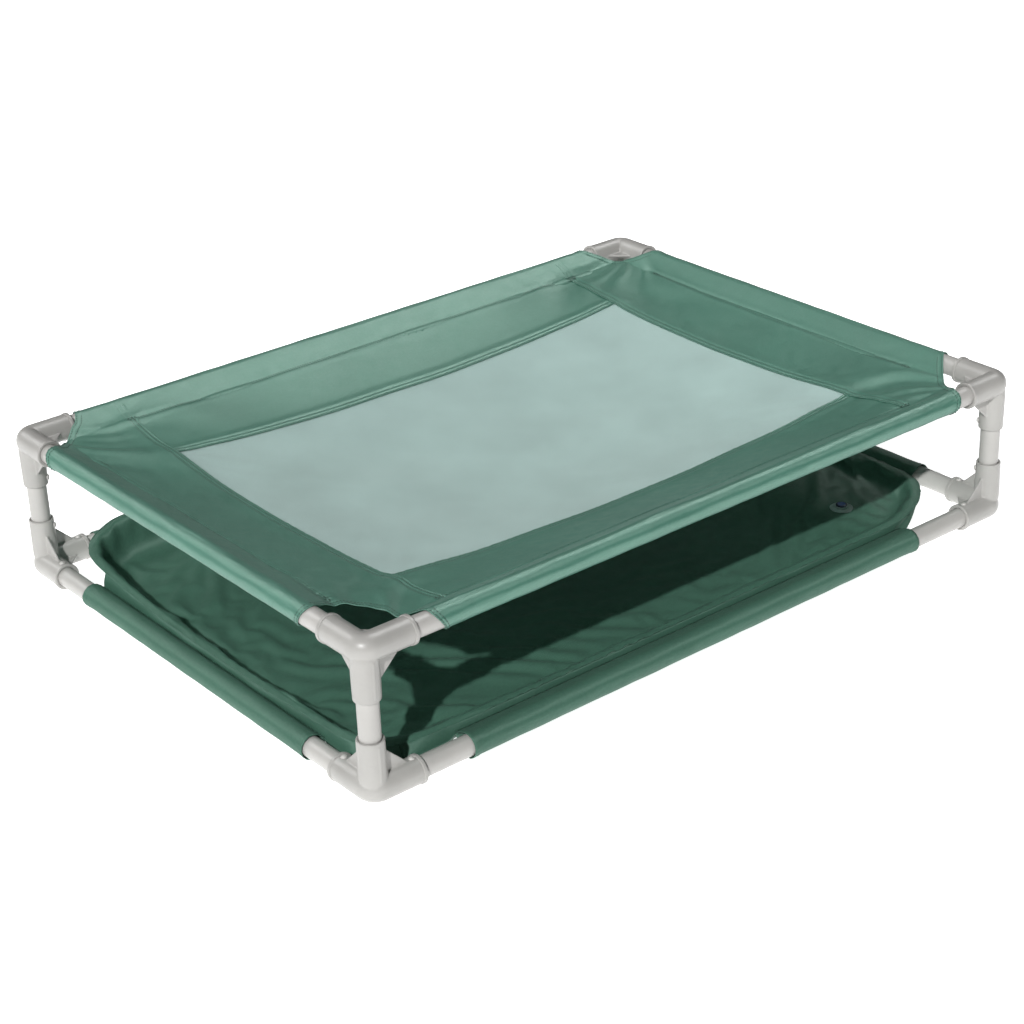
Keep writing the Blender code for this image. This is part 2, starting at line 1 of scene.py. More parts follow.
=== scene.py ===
"""Raised dog cot with a splash basin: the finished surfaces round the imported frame.

Everything is in metres, in the frame's own axes.  The front is -Y and the left is -X.
Cloth pieces are grids of points worked out from the rails, with their own UVs in metres,
so that the weave follows the cloth.  The basin's liner is settled by a cloth simulation.
"""
import math
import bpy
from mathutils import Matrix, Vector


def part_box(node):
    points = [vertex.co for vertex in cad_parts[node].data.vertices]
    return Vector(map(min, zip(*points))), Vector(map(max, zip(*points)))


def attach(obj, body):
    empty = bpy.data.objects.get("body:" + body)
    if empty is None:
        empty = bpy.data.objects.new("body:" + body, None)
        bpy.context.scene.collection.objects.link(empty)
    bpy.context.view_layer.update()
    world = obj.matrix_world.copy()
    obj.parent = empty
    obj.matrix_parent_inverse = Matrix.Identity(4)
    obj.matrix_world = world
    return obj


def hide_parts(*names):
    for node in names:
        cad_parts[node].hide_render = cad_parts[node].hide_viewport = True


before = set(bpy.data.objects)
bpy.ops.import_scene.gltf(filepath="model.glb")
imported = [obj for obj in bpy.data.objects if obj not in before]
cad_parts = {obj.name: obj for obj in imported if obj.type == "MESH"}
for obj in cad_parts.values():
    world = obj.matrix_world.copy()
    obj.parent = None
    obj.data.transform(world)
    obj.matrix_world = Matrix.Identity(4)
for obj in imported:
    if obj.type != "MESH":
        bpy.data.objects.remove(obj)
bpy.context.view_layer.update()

import bmesh
import bpy
import numpy as np
from mathutils import Matrix, Vector
from mathutils.bvhtree import BVHTree


def middle(node):
    low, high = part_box(node)
    return (low + high) / 2


def size(node):
    low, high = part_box(node)
    return high - low


# ------------------------------------------------------------------ sizes

HALF_X = middle("upper_rail_right").x          # rail axes
HALF_Y = middle("upper_rail_back").y
LOWER_Z = middle("lower_rail_back").z
UPPER_Z = middle("upper_rail_back").z
PIPE_R = size("leg_front_left").x / 2
PIPE_WALL = 0.0029
PIPE_SIDES = 56

# Corner fitting, from the crossing of its rail axes
SOCKET_R = 0.0174
MOUTH = 0.0655
BEAD_R = 0.0184
BEAD_WIDTH = 0.005
SWEEP_R = 0.011
LEG_INSET = HALF_X - middle("leg_front_right").x
LEG_FOOT_R = 0.0173
LEG_MOUTH_R = 0.0168
LEG_FOOT_Z = 0.014                             # where the leg socket's round foot begins
BORE_R = PIPE_R + 0.0003
PIPE_STOP = 0.026                              # where a pipe's end stops in its socket
WEB_THICKNESS = 0.0032
WEB_FOOT = 0.049
WEB_TOP = 0.045
SCREW_AT = 0.0555
SCREW_HEAD_R = 0.0040
SCREW_HEAD_RISE = 0.0022

# Deck cloth
CLOTH = 0.0008
SLEEVE_R = PIPE_R + 0.0010                     # outer face of a sleeve round its rail
HEM_IN = 0.037
HEM_DROP = 0.003
HEM_X = HALF_X - HEM_IN
HEM_Y = HALF_Y - HEM_IN
SAG = 0.061
FLATNESS = 2.3
FIELD_X = HALF_X - 0.145
FIELD_Y = HALF_Y - 0.145
OVERLAP = 0.013                                # how far sewn pieces lap over each other
TAIL = 0.011                                   # how far a sleeve's edge runs past its stitching
BAND = 0.010                                   # width of a folded hem
HEM_ROWS = (0.002, 0.0055)                     # rows of stitches beside a rail, in from the hem
SEAM_ROWS = (0.0035, 0.0095)                   # and round the mesh, out from its edge
EDGE_ROWS = (0.0022, BAND * 0.82)              # and at a cut edge, in from it
ARC_STEPS = 54                                 # about how many steps a cut edge is drawn with
ARC_POINTS = 56                                # and how many points a border panel has there
EDGE_POINTS = 70                               # and its rows of stitches
RING_POINTS = 32                               # points of a sleeve's section that ring its rail

# The cut edge of the deck at each corner, from the top of the short rail to that of the long
# one: distances in from the corner along the long rail and along the short rail
CORNER_EDGE = {
    "front_left": [(0.0, 0.096), (0.020, 0.103), (0.038, 0.107), (0.053, 0.104), (0.065, 0.091),
                   (0.0715, 0.068), (0.0735, 0.045), (0.078, 0.020), (0.089, 0.0)],
    "front_right": [(0.0, 0.095), (0.015, 0.083), (0.032, 0.067), (0.049, 0.049), (0.065, 0.026),
                    (0.087, 0.0)],
    "back_left": [(0.0, 0.077), (0.0155, 0.0662), (0.024, 0.056), (0.041, 0.037), (0.057, 0.022),
                  (0.067, 0.0145), (0.076, 0.0)],
    "back_right": [(0.0, 0.081), (0.0155, 0.0672), (0.026, 0.056), (0.041, 0.041), (0.056, 0.026),
                   (0.067, 0.0150), (0.081, 0.0)],
}
# Below its rail a sleeve ends this much further from the corner than on top of it: on the long
# rail, on the short rail
END_SLANT = {
    "front_left": (0.021, 0.015),
    "front_right": (0.010, 0.012),
    "back_left": (0.012, 0.010),
    "back_right": (0.010, 0.010),
}
FLAP_SLANT = 0.8                               # and the cloth under its hem by this share more
SEWN_LONG = 0.131                              # a hem's stitches start this far from the corner
SEWN_SHORT = 0.119
CORNERS = {
    "front_left": (-1, -1),
    "front_right": (1, -1),
    "back_left": (-1, 1),
    "back_right": (1, 1),
}

# Basin
BASIN_OPEN = {
    "front_left": (0.136, 0.120),
    "front_right": (0.163, 0.126),
    "back_left": (0.080, 0.135),
    "back_right": (0.110, 0.110),
}
LINER_FLOOR = LOWER_Z - 0.0112                 # the liner's bottom, where it lies level
LINER_CELL = 0.009
LINER_FRAMES = 30
LINER_CLOTH = {"quality": 6, "mass": 0.35, "tension_stiffness": 25, "compression_stiffness": 25,
               "shear_stiffness": 12, "bending_stiffness": 6, "pin_stiffness": 1.0,
               "shrink_min": -0.035, "shrink_max": -0.035}
CLOTH_GAP = 0.003                              # what the settling cloth keeps from the ground
RIM_BAND = 0.0095                              # the folded hem all round the liner
RIM_SPREAD = 0.026                             # how fast the liner falls away inside it
# How firmly the settling liner is held, up to each distance inside its rim
LINER_PINS = ((RIM_BAND + 0.002, 1.0), (0.022, 0.35), (0.12, 0.02))
GUSSET_COLUMNS = 22
GUSSET_BULGE = np.array([-0.016, -0.016, 0.0]) # how far its foot stands out round the fitting

# The liner's rim, clockwise from the front left corner: its place, and its height over the
# lower rails.  It is slack, so it sits higher at the back left and lower at the front.
RIM = [
    (-0.500, -0.318, 0.020), (-0.511, -0.270, 0.018), (-0.512, -0.120, 0.014),
    (-0.512, 0.050, 0.0135), (-0.511, 0.150, 0.017), (-0.510, 0.230, 0.024),
    (-0.507, 0.280, 0.027), (-0.4995, 0.310, 0.029), (-0.484, 0.335, 0.031),
    (-0.465, 0.347, 0.036), (-0.428, 0.357, 0.042), (-0.370, 0.359, 0.040),
    (-0.250, 0.358, 0.030), (0.000, 0.356, 0.018), (0.200, 0.356, 0.014),
    (0.380, 0.355, 0.014), (0.440, 0.341, 0.013), (0.475, 0.316, 0.013),
    (0.496, 0.280, 0.013), (0.506, 0.230, 0.013), (0.508, 0.000, 0.012),
    (0.508, -0.220, 0.013), (0.504, -0.264, 0.0134), (0.492, -0.290, 0.0134),
    (0.458, -0.321, 0.0134), (0.420, -0.340, 0.0134), (0.370, -0.351, 0.0134),
    (0.200, -0.353, 0.013), (0.000, -0.353, 0.013), (-0.300, -0.352, 0.013),
    (-0.420, -0.348, 0.013), (-0.461, -0.340, 0.012),
]
DRAIN = middle("drain_seat")

UP = Vector((0, 0, 1))
AXES = {"X": (1, 0, 0), "Y": (0, 1, 0), "Z": (0, 0, 1)}
STITCH_PITCH = 0.0042
STITCH_LENGTH = 0.0030
THREAD_R = 0.00042

# Name, direction, strength, spread in degrees, and whether it lights matt surfaces
SUNS = (("key", (0.65, 0.455, -0.606), 3.3, 1.3, True),
        ("panel_right", (-0.55, -0.12, -0.82), 1.35, 30, False),
        ("panel_back", (0.24, -0.70, -0.62), 1.0, 30, True))
CAMERA_TURNS = (38.318, 26.344, -2.295)        # azimuth, elevation and roll, in degrees
CAMERA_PLACE = (-1.7281, -2.1695, 1.4045 + LOWER_Z)
CAMERA_LENS = 78.96


# ------------------------------------------------------------------ mesh helpers

def new_object(name, mesh):
    made = bpy.data.objects.new(name, mesh)
    bpy.context.scene.collection.objects.link(made)
    return made


def settled(made):
    """The object's mesh as its modifiers leave it; the object is removed."""
    graph = bpy.context.evaluated_depsgraph_get()
    mesh = bpy.data.meshes.new_from_object(made.evaluated_get(graph))
    bpy.data.objects.remove(made)
    return mesh


def mesh_from(bm, name):
    mesh = bpy.data.meshes.new(name)
    bm.to_mesh(mesh)
    bm.free()
    return mesh


def smooth(mesh, angle=40):
    mesh.shade_smooth()
    mesh.set_sharp_from_angle(angle=math.radians(angle))
    return mesh


def grid_faces(rows, columns, closed=False):
    """Quads of a grid of points; closed joins its last column to its first."""
    faces = []
    for row in range(rows - 1):
        for column in range(columns if closed else columns - 1):
            after = (column + 1) % columns
            faces.append((row * columns + column, row * columns + after,
                          (row + 1) * columns + after, (row + 1) * columns + column))
    return faces


def turned(name, profile, sides=PIPE_SIDES, closed=False):
    """A profile of (radius, height) points turned about Z; closed joins its ends."""
    angles = np.linspace(0, 2 * math.pi, sides, endpoint=False)
    rings = profile + profile[:1] if closed else profile
    points = [(radius * math.cos(angle), radius * math.sin(angle), height)
              for radius, height in rings for angle in angles]
    mesh = bpy.data.meshes.new(name)
    mesh.from_pydata(points, [], grid_faces(len(rings), sides, closed=True))
    bm = bmesh.new()
    bm.from_mesh(mesh)
    bmesh.ops.remove_doubles(bm, verts=bm.verts, dist=0.000001)
    bmesh.ops.recalc_face_normals(bm, faces=bm.faces)
    bm.to_mesh(mesh)
    bm.free()
    return mesh


def rounded(points, radius, steps=3):
    """The open outline of (radius, height) points with its inner corners rounded."""
    line = [points[0]]
    for before, here, after in zip(points, points[1:], points[2:]):
        here = Vector(here)
        back = Vector(before) - here
        ahead = Vector(after) - here
        reach = min(radius, back.length * 0.45, ahead.length * 0.45)
        start = here + back.normalized() * reach
        end = here + ahead.normalized() * reach
        for step in range(steps + 1):
            t = step / steps
            line.append(tuple(start * (1 - t) ** 2 + here * 2 * t * (1 - t) + end * t ** 2))
    return line + [points[-1]]


def along(direction):
    """The turn that takes Z to this direction."""
    return Vector(direction).to_track_quat("Z", "Y").to_matrix().to_4x4()


def cloth_mesh(name, points, faces, uvs):
    """A mesh with each point's own (u, v)."""
    mesh = bpy.data.meshes.new(name)
    mesh.from_pydata(points, [], faces)
    layer = mesh.uv_layers.new(name="UVMap")
    for loop, slot in zip(mesh.loops, layer.data):
        slot.uv = uvs[loop.vertex_index]
    return mesh


def thicken(made, thickness):
    """Gives a sheet its thickness, below the face that shows."""
    solid = made.modifiers.new("Cloth", "SOLIDIFY")
    solid.thickness = thickness
    solid.offset = -1


def facing(faces):
    """How far the faces point up on the whole, by their areas."""
    return sum(face.normal.z * face.calc_area() for face in faces)


class Sheet:
    """Patches of cloth that share edges, gathered into one mesh with UVs in metres."""

    def __init__(self):
        self.points = []
        self.faces = []
        self.uvs = []

    def add(self, grid, uv):
        """A grid of points, (rows, columns, 3), and the (u, v) of each of them."""
        rows, columns = grid.shape[:2]
        first = len(self.points)
        self.points.extend(map(tuple, grid.reshape(-1, 3)))
        self.uvs.extend(map(tuple, uv.reshape(-1, 2)))
        self.faces.extend(tuple(first + corner for corner in face)
                          for face in grid_faces(rows, columns))

    def build(self, name, thickness=CLOTH):
        mesh = cloth_mesh(name, self.points, self.faces, self.uvs)
        bm = bmesh.new()
        bm.from_mesh(mesh)
        bmesh.ops.remove_doubles(bm, verts=bm.verts, dist=0.000002)
        bmesh.ops.recalc_face_normals(bm, faces=bm.faces)
        centres = [(face, face.calc_center_median()) for face in bm.faces]
        inner = [face for face, at in centres if abs(at.x) < HEM_X and abs(at.y) < HEM_Y]
        low = [face for face, at in centres if at.z < UPPER_Z + SLEEVE_R * 0.5]
        if (facing(inner) or facing(low)) < 0:
            bmesh.ops.reverse_faces(bm, faces=bm.faces)
        bm.to_mesh(mesh)
        bm.free()
        mesh.shade_smooth()
        made = new_object(name, mesh)
        thicken(made, thickness)
        return made


def arc_lengths(grid, axis):
    """Distance along the grid's lines, from its first row or column."""
    steps = np.linalg.norm(np.diff(grid, axis=axis), axis=2)
    shape = list(grid.shape[:2])
    shape[axis] = 1
    return np.concatenate([np.zeros(shape), np.cumsum(steps, axis=axis)], axis=axis)


def cloth_uv(grid, origin_u=0.0, origin_v=0.0):
    return np.stack([arc_lengths(grid, 1) + origin_u, arc_lengths(grid, 0) + origin_v], axis=2)


# ------------------------------------------------------------------ materials

class Nodes:
    """A short way to build a material's node tree."""

    def __init__(self, name):
        self.material = bpy.data.materials.new(name)
        self.material.use_nodes = True
        self.tree = self.material.node_tree
        self.shader = self.tree.nodes["Principled BSDF"]

    def add(self, kind, **values):
        node = self.tree.nodes.new(kind)
        for key, value in values.items():
            setattr(node, key, value)
        return node

    def link(self, source, target):
        self.tree.links.new(source, target)

    def place(self, coordinate, scale):
        """Coordinates of one kind, multiplied by scale."""
        source = self.add("ShaderNodeTexCoord")
        mapping = self.add("ShaderNodeMapping")
        mapping.inputs["Scale"].default_value = (scale,) * 3
        self.link(source.outputs[coordinate], mapping.inputs["Vector"])
        return mapping.outputs["Vector"]

    def noise(self, place, scale=1.0, detail=3.0, roughness=0.55):
        node = self.add("ShaderNodeTexNoise")
        node.inputs["Scale"].default_value = scale
        node.inputs["Detail"].default_value = detail
        node.inputs["Roughness"].default_value = roughness
        self.link(place, node.inputs["Vector"])
        return node.outputs["Fac"]

    def wave(self, place, direction):
        node = self.add("ShaderNodeTexWave", bands_direction=direction, wave_profile="SIN")
        node.inputs["Scale"].default_value = 1.0
        self.link(place, node.inputs["Vector"])
        return node.outputs["Fac"]

    def math(self, operation, a, b=0.5):
        node = self.add("ShaderNodeMath", operation=operation)
        for value, slot in ((a, node.inputs[0]), (b, node.inputs[1])):
            if isinstance(value, bpy.types.NodeSocket):
                self.link(value, slot)
            else:
                slot.default_value = value
        return node.outputs[0]

    def span(self, value, low=0.3, high=0.7, out_low=0.0, out_high=1.0):
        node = self.add("ShaderNodeMapRange")
        node.clamp = True
        for slot, number in zip(node.inputs[1:5], (low, high, out_low, out_high)):
            slot.default_value = number
        self.link(value, node.inputs[0])
        return node.outputs[0]

    def mix(self, factor, first, second):
        node = self.add("ShaderNodeMix", data_type="RGBA")
        colours = [slot for slot in node.inputs if slot.type == "RGBA"]
        for slot, value in zip(colours, (first, second)):
            if isinstance(value, bpy.types.NodeSocket):
                self.link(value, slot)
            else:
                slot.default_value = (*value, 1.0)
        self.link(factor, node.inputs[0])
        return [slot for slot in node.outputs if slot.type == "RGBA"][0]

    def bump(self, height, strength, distance, onto=None):
        node = self.add("ShaderNodeBump")
        node.inputs["Strength"].default_value = strength
        node.inputs["Distance"].default_value = distance
        self.link(height, node.inputs["Height"])
        if onto is not None:
            self.link(onto, node.inputs["Normal"])
        return node.outputs["Normal"]

    def set(self, **values):
        for key, value in values.items():
            slot = self.shader.inputs[key.replace("_", " ")]
            if isinstance(value, bpy.types.NodeSocket):
                self.link(value, slot)
            else:
                slot.default_value = value


def tone(colour, share, added=0.0):
    """The colour made darker or paler by this share."""
    return tuple(min(1.0, part * share + added) for part in colour)


def moulded_plastic(name, colour, roughness, seed):
    """Satin PVC with a faint grain, slow mottling, and dull scuffs."""
    n = Nodes(name)
    here = n.place("Object", 1.0)
    shifted = n.add("ShaderNodeVectorMath", operation="ADD")
    shifted.inputs[1].default_value = (seed * 0.37, seed * 0.11, seed * 0.23)
    n.link(here, shifted.inputs[0])
    place = shifted.outputs[0]
    mottle = n.noise(place, 18.0, 4.0)
    scuffs = n.span(n.noise(place, 95.0, 6.0, 0.7), 0.60, 0.78, 0.0, 1.0)
    toned = n.mix(n.span(mottle), tone(colour, 0.93), tone(colour, 1.06))
    n.set(Base_Color=n.mix(n.math("MULTIPLY", scuffs, 0.35), toned, tone(colour, 0.86)))
    n.set(Roughness=n.span(n.noise(place, 140.0, 5.0),
                           out_low=roughness - 0.05, out_high=roughness + 0.07))
    fine = n.bump(n.noise(place, 1400.0, 2.0), 0.10, 0.0002)
    n.set(Normal=n.bump(n.noise(place, 160.0, 3.0), 0.10, 0.0006, fine))
    n.set(IOR=1.5)
    return n.material


def coated_cloth(name, colour, roughness, sheen, pitch, gloss):
    """Vinyl-coated cloth: a fine plain weave that shows through the coating."""
    n = Nodes(name)
    cells = n.place("UV", 1.0 / pitch)
    threads = n.math("ADD", n.wave(cells, "X"), n.wave(cells, "Y"))
    cloth = n.place("UV", 1.0)
    patches = n.noise(cloth, 7.0, 3.0)
    grain = n.noise(cloth, 260.0, 4.0)
    toned = n.mix(n.span(patches), tone(colour, 0.90), tone(colour, 1.09))
    speckle = n.span(grain, 0.35, 0.65, 0.0, 0.30)
    n.set(Base_Color=n.mix(speckle, toned, tone(colour, 1.30, 0.01)))
    n.set(Roughness=n.span(n.noise(cloth, 60.0, 4.0),
                           out_low=roughness - 0.05, out_high=roughness + 0.06))
    weave = n.bump(threads, 0.16, 0.00022)
    soft = n.bump(n.noise(cloth, 24.0, 3.0), 0.22, 0.0016, weave)
    n.set(Normal=soft)
    n.set(Sheen_Weight=sheen, Sheen_Roughness=0.4, Sheen_Tint=(0.75, 0.95, 0.88, 1.0))
    # Where the cloth is steep, as round a rail, its gloss is drawn out along the level
    level = n.add("ShaderNodeVectorMath", operation="CROSS_PRODUCT")
    level.inputs[0].default_value = UP
    n.link(n.add("ShaderNodeNewGeometry").outputs["Normal"], level.inputs[1])
    steep = n.add("ShaderNodeVectorMath", operation="LENGTH")
    n.link(level.outputs[0], steep.inputs[0])
    drawn_out = n.span(steep.outputs["Value"], 0.30, 0.60, 0.0, 0.93)
    n.set(Tangent=level.outputs[0], Anisotropic=drawn_out)
    n.set(Specular_IOR_Level=gloss, IOR=1.6, Specular_Tint=(0.74, 1.0, 0.88, 1.0))
    return n.material


def open_mesh(name, colour, opening_shade, pitch):
    """Coated yarns woven with small openings between them; the openings are painted dark, as
    painted shade of what lies below them.
    """
    n = Nodes(name)
    cells = n.place("UV", 1.0 / pitch)
    warp = n.wave(cells, "X")
    weft = n.wave(cells, "Y")
    yarn = n.math("MAXIMUM", warp, weft)
    cloth = n.place("UV", 1.0)
    patches = n.noise(cloth, 9.0, 4.0)
    flecks = n.noise(cloth, 520.0, 3.0)
    toned = n.mix(n.span(patches), tone(colour, 0.90), tone(colour, 1.08))
    flecked = n.mix(n.span(flecks, 0.45, 0.75, 0.0, 0.35), toned, tone(colour, 0.72))
    # Between the yarns the colour is mixed towards a dark green: painted shade seen through the
    # openings
    n.set(Base_Color=n.mix(n.span(yarn, 0.30, 0.56, 0.66, 0.0), flecked, opening_shade))
    n.set(Roughness=n.span(flecks, out_low=0.50, out_high=0.66))
    n.set(Normal=n.bump(yarn, 0.45, 0.0006))
    n.set(Sheen_Weight=0.10, Sheen_Roughness=0.5, IOR=1.46)
    return n.material


def thread_material(name, colour):
    n = Nodes(name)
    twist = n.wave(n.place("Object", 900.0), "DIAGONAL")
    n.set(Base_Color=n.mix(twist, tone(colour, 0.8), colour))
    n.set(Roughness=0.6, Sheen_Weight=0.05, Normal=n.bump(twist, 0.3, 0.0002))
    return n.material


def rubber(name, colour, roughness):
    n = Nodes(name)
    here = n.place("Object", 1.0)
    grain = n.noise(here, 900.0, 4.0)
    n.set(Base_Color=n.mix(n.span(n.noise(here, 260.0, 4.0)), tone(colour, 0.8), colour))
    n.set(Roughness=n.span(grain, out_low=roughness - 0.06, out_high=roughness + 0.08))
    n.set(Normal=n.bump(grain, 0.15, 0.0002), IOR=1.5)
    return n.material


PIPE_PVC = moulded_plastic("pipe_pvc", (0.395, 0.387, 0.370), 0.36, 1)
FITTING_PVC = moulded_plastic("fitting_pvc", (0.345, 0.339, 0.323), 0.34, 2)
CAP_PLASTIC = moulded_plastic("cap_plastic", (0.50, 0.49, 0.47), 0.30, 3)
VINYL = coated_cloth("border_vinyl", (0.050, 0.152, 0.112), 0.42, 0.04, 0.0011, 1.0)
LINER_VINYL = coated_cloth("basin_vinyl", (0.042, 0.106, 0.075), 0.56, 0.02, 0.0013, 0.45)
# The second colour is painted shade in the weave's openings
DECK_MESH = open_mesh("deck_mesh_weave", (0.435, 0.60, 0.57), (0.105, 0.23, 0.19), 0.0029)
THREAD = thread_material("thread", (0.024, 0.062, 0.046))
SEAT_PLASTIC = moulded_plastic("seat_plastic", (0.40, 0.46, 0.45), 0.35, 4)
PLUG_RUBBER = rubber("plug_rubber", (0.115, 0.165, 0.42), 0.34)
PLUG_RIM = rubber("plug_rim", (0.020, 0.028, 0.090), 0.38)


def dress(made, material):
    made.data.materials.clear()
    made.data.materials.append(material)
    return made


def place_piece(made, material, replaced=(), body="frame"):
    """Finishes a piece: its material, the body it rides on and what it replaces."""
    dress(made, material)
    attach(made, body)
    if replaced:
        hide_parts(*replaced)
    return made


# ------------------------------------------------------------------ frame pieces

def cylinder(bm, start, end, radius_start, radius_end=None, sides=PIPE_SIDES):
    start, end = Vector(start), Vector(end)
    far = radius_start if radius_end is None else radius_end
    matrix = Matrix.Translation((start + end) / 2) @ along(end - start)
    bmesh.ops.create_cone(bm, cap_ends=True, segments=sides, radius1=radius_start,
                          radius2=far, depth=(end - start).length, matrix=matrix)


def sweep(bm, reach, radius, steps=16):
    """A closed tube along the bend between the two rail sockets."""
    centre = [Vector((reach, 0, 0))]
    for step in range(steps + 1):
        angle = math.pi / 2 * step / steps
        centre.append(Vector((SWEEP_R * (1 - math.sin(angle)), SWEEP_R * (1 - math.cos(angle)), 0)))
    centre.append(Vector((0, reach, 0)))
    rings = []
    for number, point in enumerate(centre):
        ahead = centre[min(number + 1, len(centre) - 1)]
        behind = centre[max(number - 1, 0)]
        side = (ahead - behind).normalized().cross(UP)
        ring = []
        for step in range(PIPE_SIDES):
            angle = 2 * math.pi * step / PIPE_SIDES
            ring.append(bm.verts.new(point + side * radius * math.cos(angle)
                                     + UP * radius * math.sin(angle)))
        rings.append(ring)
    for near, far in zip(rings, rings[1:]):
        for step in range(PIPE_SIDES):
            after = (step + 1) % PIPE_SIDES
            bm.faces.new((near[step], near[after], far[after], far[step]))
    bm.faces.new(rings[0])
    bm.faces.new(rings[-1])


def plate(bm, corners, thickness, matrix):
    """A flat web with the given outline, centred on its plane."""
    low = [bm.verts.new(matrix @ Vector((*corner, -thickness / 2))) for corner in corners]
    high = [bm.verts.new(matrix @ Vector((*corner, thickness / 2))) for corner in corners]
    bm.faces.new(low)
    bm.faces.new(high)
    for step in range(len(corners)):
        after = (step + 1) % len(corners)
        bm.faces.new((low[step], low[after], high[after], high[step]))


def shape_object(name, *makers):
    bm = bmesh.new()
    for maker in makers:
        maker(bm)
    bmesh.ops.recalc_face_normals(bm, faces=bm.faces)
    return new_object(name, mesh_from(bm, name))


def boolean(made, tool, operation):
    cut = made.modifiers.new(tool.name, "BOOLEAN")
    cut.operation = operation
    cut.solver = "EXACT"
    cut.object = tool


def rail_rim(bm, direction):
    """The rolled rim at a rail socket's mouth."""
    inner = SOCKET_R - 0.0015
    start = MOUTH - BEAD_WIDTH
    profile = rounded([(inner, start), (BEAD_R, start), (BEAD_R, MOUTH), (inner, MOUTH)], 0.0009)
    mesh = turned("rim", profile + [profile[0]], PIPE_SIDES)
    mesh.transform(along(direction))
    bm.from_mesh(mesh)


def bore(bm, base, direction):
    """What is taken out of a socket: the pipe's bore, widening at the mouth."""
    chamfer = 0.0012
    profile = [(0.00001, PIPE_STOP), (BORE_R, PIPE_STOP), (BORE_R, MOUTH - chamfer),
               (BORE_R + chamfer * 1.6, MOUTH + 0.0004), (BORE_R + chamfer * 1.6, MOUTH + 0.003),
               (0.00001, MOUTH + 0.003)]
    mesh = turned("bore", profile, PIPE_SIDES)
    mesh.transform(Matrix.Translation(base) @ along(direction))
    bm.from_mesh(mesh)


def fitting_mesh():
    """One moulded three-way fitting, its sockets along +X, +Y and +Z."""
    leg = Vector((LEG_INSET, LEG_INSET, 0))
    upright = Matrix.Rotation(math.pi / 2, 4, "X")
    across = Matrix.Rotation(math.pi / 2, 4, "Z") @ upright
    web = [(0.006, 0.006), (WEB_FOOT, 0.008), (WEB_FOOT, SOCKET_R - 0.0004),
           (LEG_INSET + SOCKET_R - 0.0004, WEB_TOP), (0.008, WEB_TOP)]
    inner_web = [(0.008, 0.008), (WEB_FOOT - 0.006, 0.008), (WEB_FOOT - 0.006, SOCKET_R - 0.0006),
                 (SOCKET_R - 0.0006, WEB_FOOT - 0.006), (0.008, WEB_FOOT - 0.006)]

    def ribs(bm):
        for direction in (Vector((-1, 0, 0)), Vector((0, -1, 0))):
            foot = leg + direction * (LEG_FOOT_R - 0.0010)
            top = leg + direction * (LEG_MOUTH_R - 0.0010)
            cylinder(bm, foot + UP * LEG_FOOT_Z, top + UP * (MOUTH - 0.006), 0.0018, sides=16)

    body = shape_object(
        "fitting_body",
        lambda bm: sweep(bm, MOUTH - 0.0006, SOCKET_R),
        lambda bm: cylinder(bm, leg + UP * LEG_FOOT_Z, leg + UP * MOUTH, LEG_FOOT_R, LEG_MOUTH_R),
        lambda bm: bmesh.ops.create_uvsphere(bm, u_segments=40, v_segments=24, radius=LEG_FOOT_R,
                                             matrix=Matrix.Translation(leg + UP * LEG_FOOT_Z)),
        lambda bm: plate(bm, web, WEB_THICKNESS, upright),
        lambda bm: plate(bm, web, WEB_THICKNESS, across),
        lambda bm: plate(bm, inner_web, WEB_THICKNESS, Matrix.Identity(4)),
        ribs)
    melt = body.modifiers.new("Melt", "REMESH")
    melt.mode = "VOXEL"
    melt.voxel_size = 0.0010
    relax = body.modifiers.new("Relax", "SMOOTH")
    relax.factor = 0.5
    relax.iterations = 4
    rims = shape_object("rims", lambda bm: rail_rim(bm, AXES["X"]),
                        lambda bm: rail_rim(bm, AXES["Y"]))
    bores = shape_object("bores", lambda bm: bore(bm, Vector(), AXES["X"]),
                         lambda bm: bore(bm, Vector(), AXES["Y"]),
                         lambda bm: bore(bm, leg, AXES["Z"]))
    boolean(body, rims, "UNION")
    boolean(body, bores, "DIFFERENCE")
    bpy.context.view_layer.update()
    mesh = settled(body)
    for tool in (rims, bores):
        bpy.data.objects.remove(tool)
    return smooth(mesh, 38)


def corner_place(corner, upper):
    """Where a fitting stands: its sockets face along the rails and the leg."""
    sx, sy = CORNERS[corner]
    quarter = {(-1, -1): 0, (1, -1): 1, (1, 1): 2, (-1, 1): 3}[(sx, sy)]
    turn = Matrix.Rotation(math.pi / 2 * quarter, 4, "Z")
    if upper:
        turn = turn @ Matrix.Rotation(math.pi / 2, 4, "Z") @ Matrix.Rotation(math.pi, 4, "X")
    return Matrix.Translation((sx * HALF_X, sy * HALF_Y, UPPER_Z if upper else LOWER_Z)) @ turn


def screw_seats():
    """Head seat and outward direction of a fitting's three screws."""
    inward = Vector((1, 1, 0)).normalized()
    leg = Vector((LEG_INSET, LEG_INSET, SCREW_AT))
    return {
        "a": (Vector((SCREW_AT, 0, SOCKET_R)), UP),
        "b": (Vector((0, SCREW_AT, SOCKET_R)), UP),
        "leg": (leg + inward * SOCKET_R, inward),
    }


def screw_mesh():
    """A domed cap on a round collar, with the shank's start below it."""
    r, rise = SCREW_HEAD_R, SCREW_HEAD_RISE
    dome = [(r * 0.78 * math.cos(angle), 0.0006 + (rise - 0.0006) * math.sin(angle))
            for angle in np.linspace(0, math.pi / 2, 9)]
    profile = [(0.0016, -0.006), (0.0016, -0.0002), (r, -0.0002), (r, 0.0007), (r * 0.93, 0.0010),
               (r * 0.82, 0.0009), (r * 0.79, 0.0005), *dome[1:-1], (0.00001, rise)]
    return smooth(turned("screw_cap", [(0.00001, -0.006)] + profile, 32), 50)


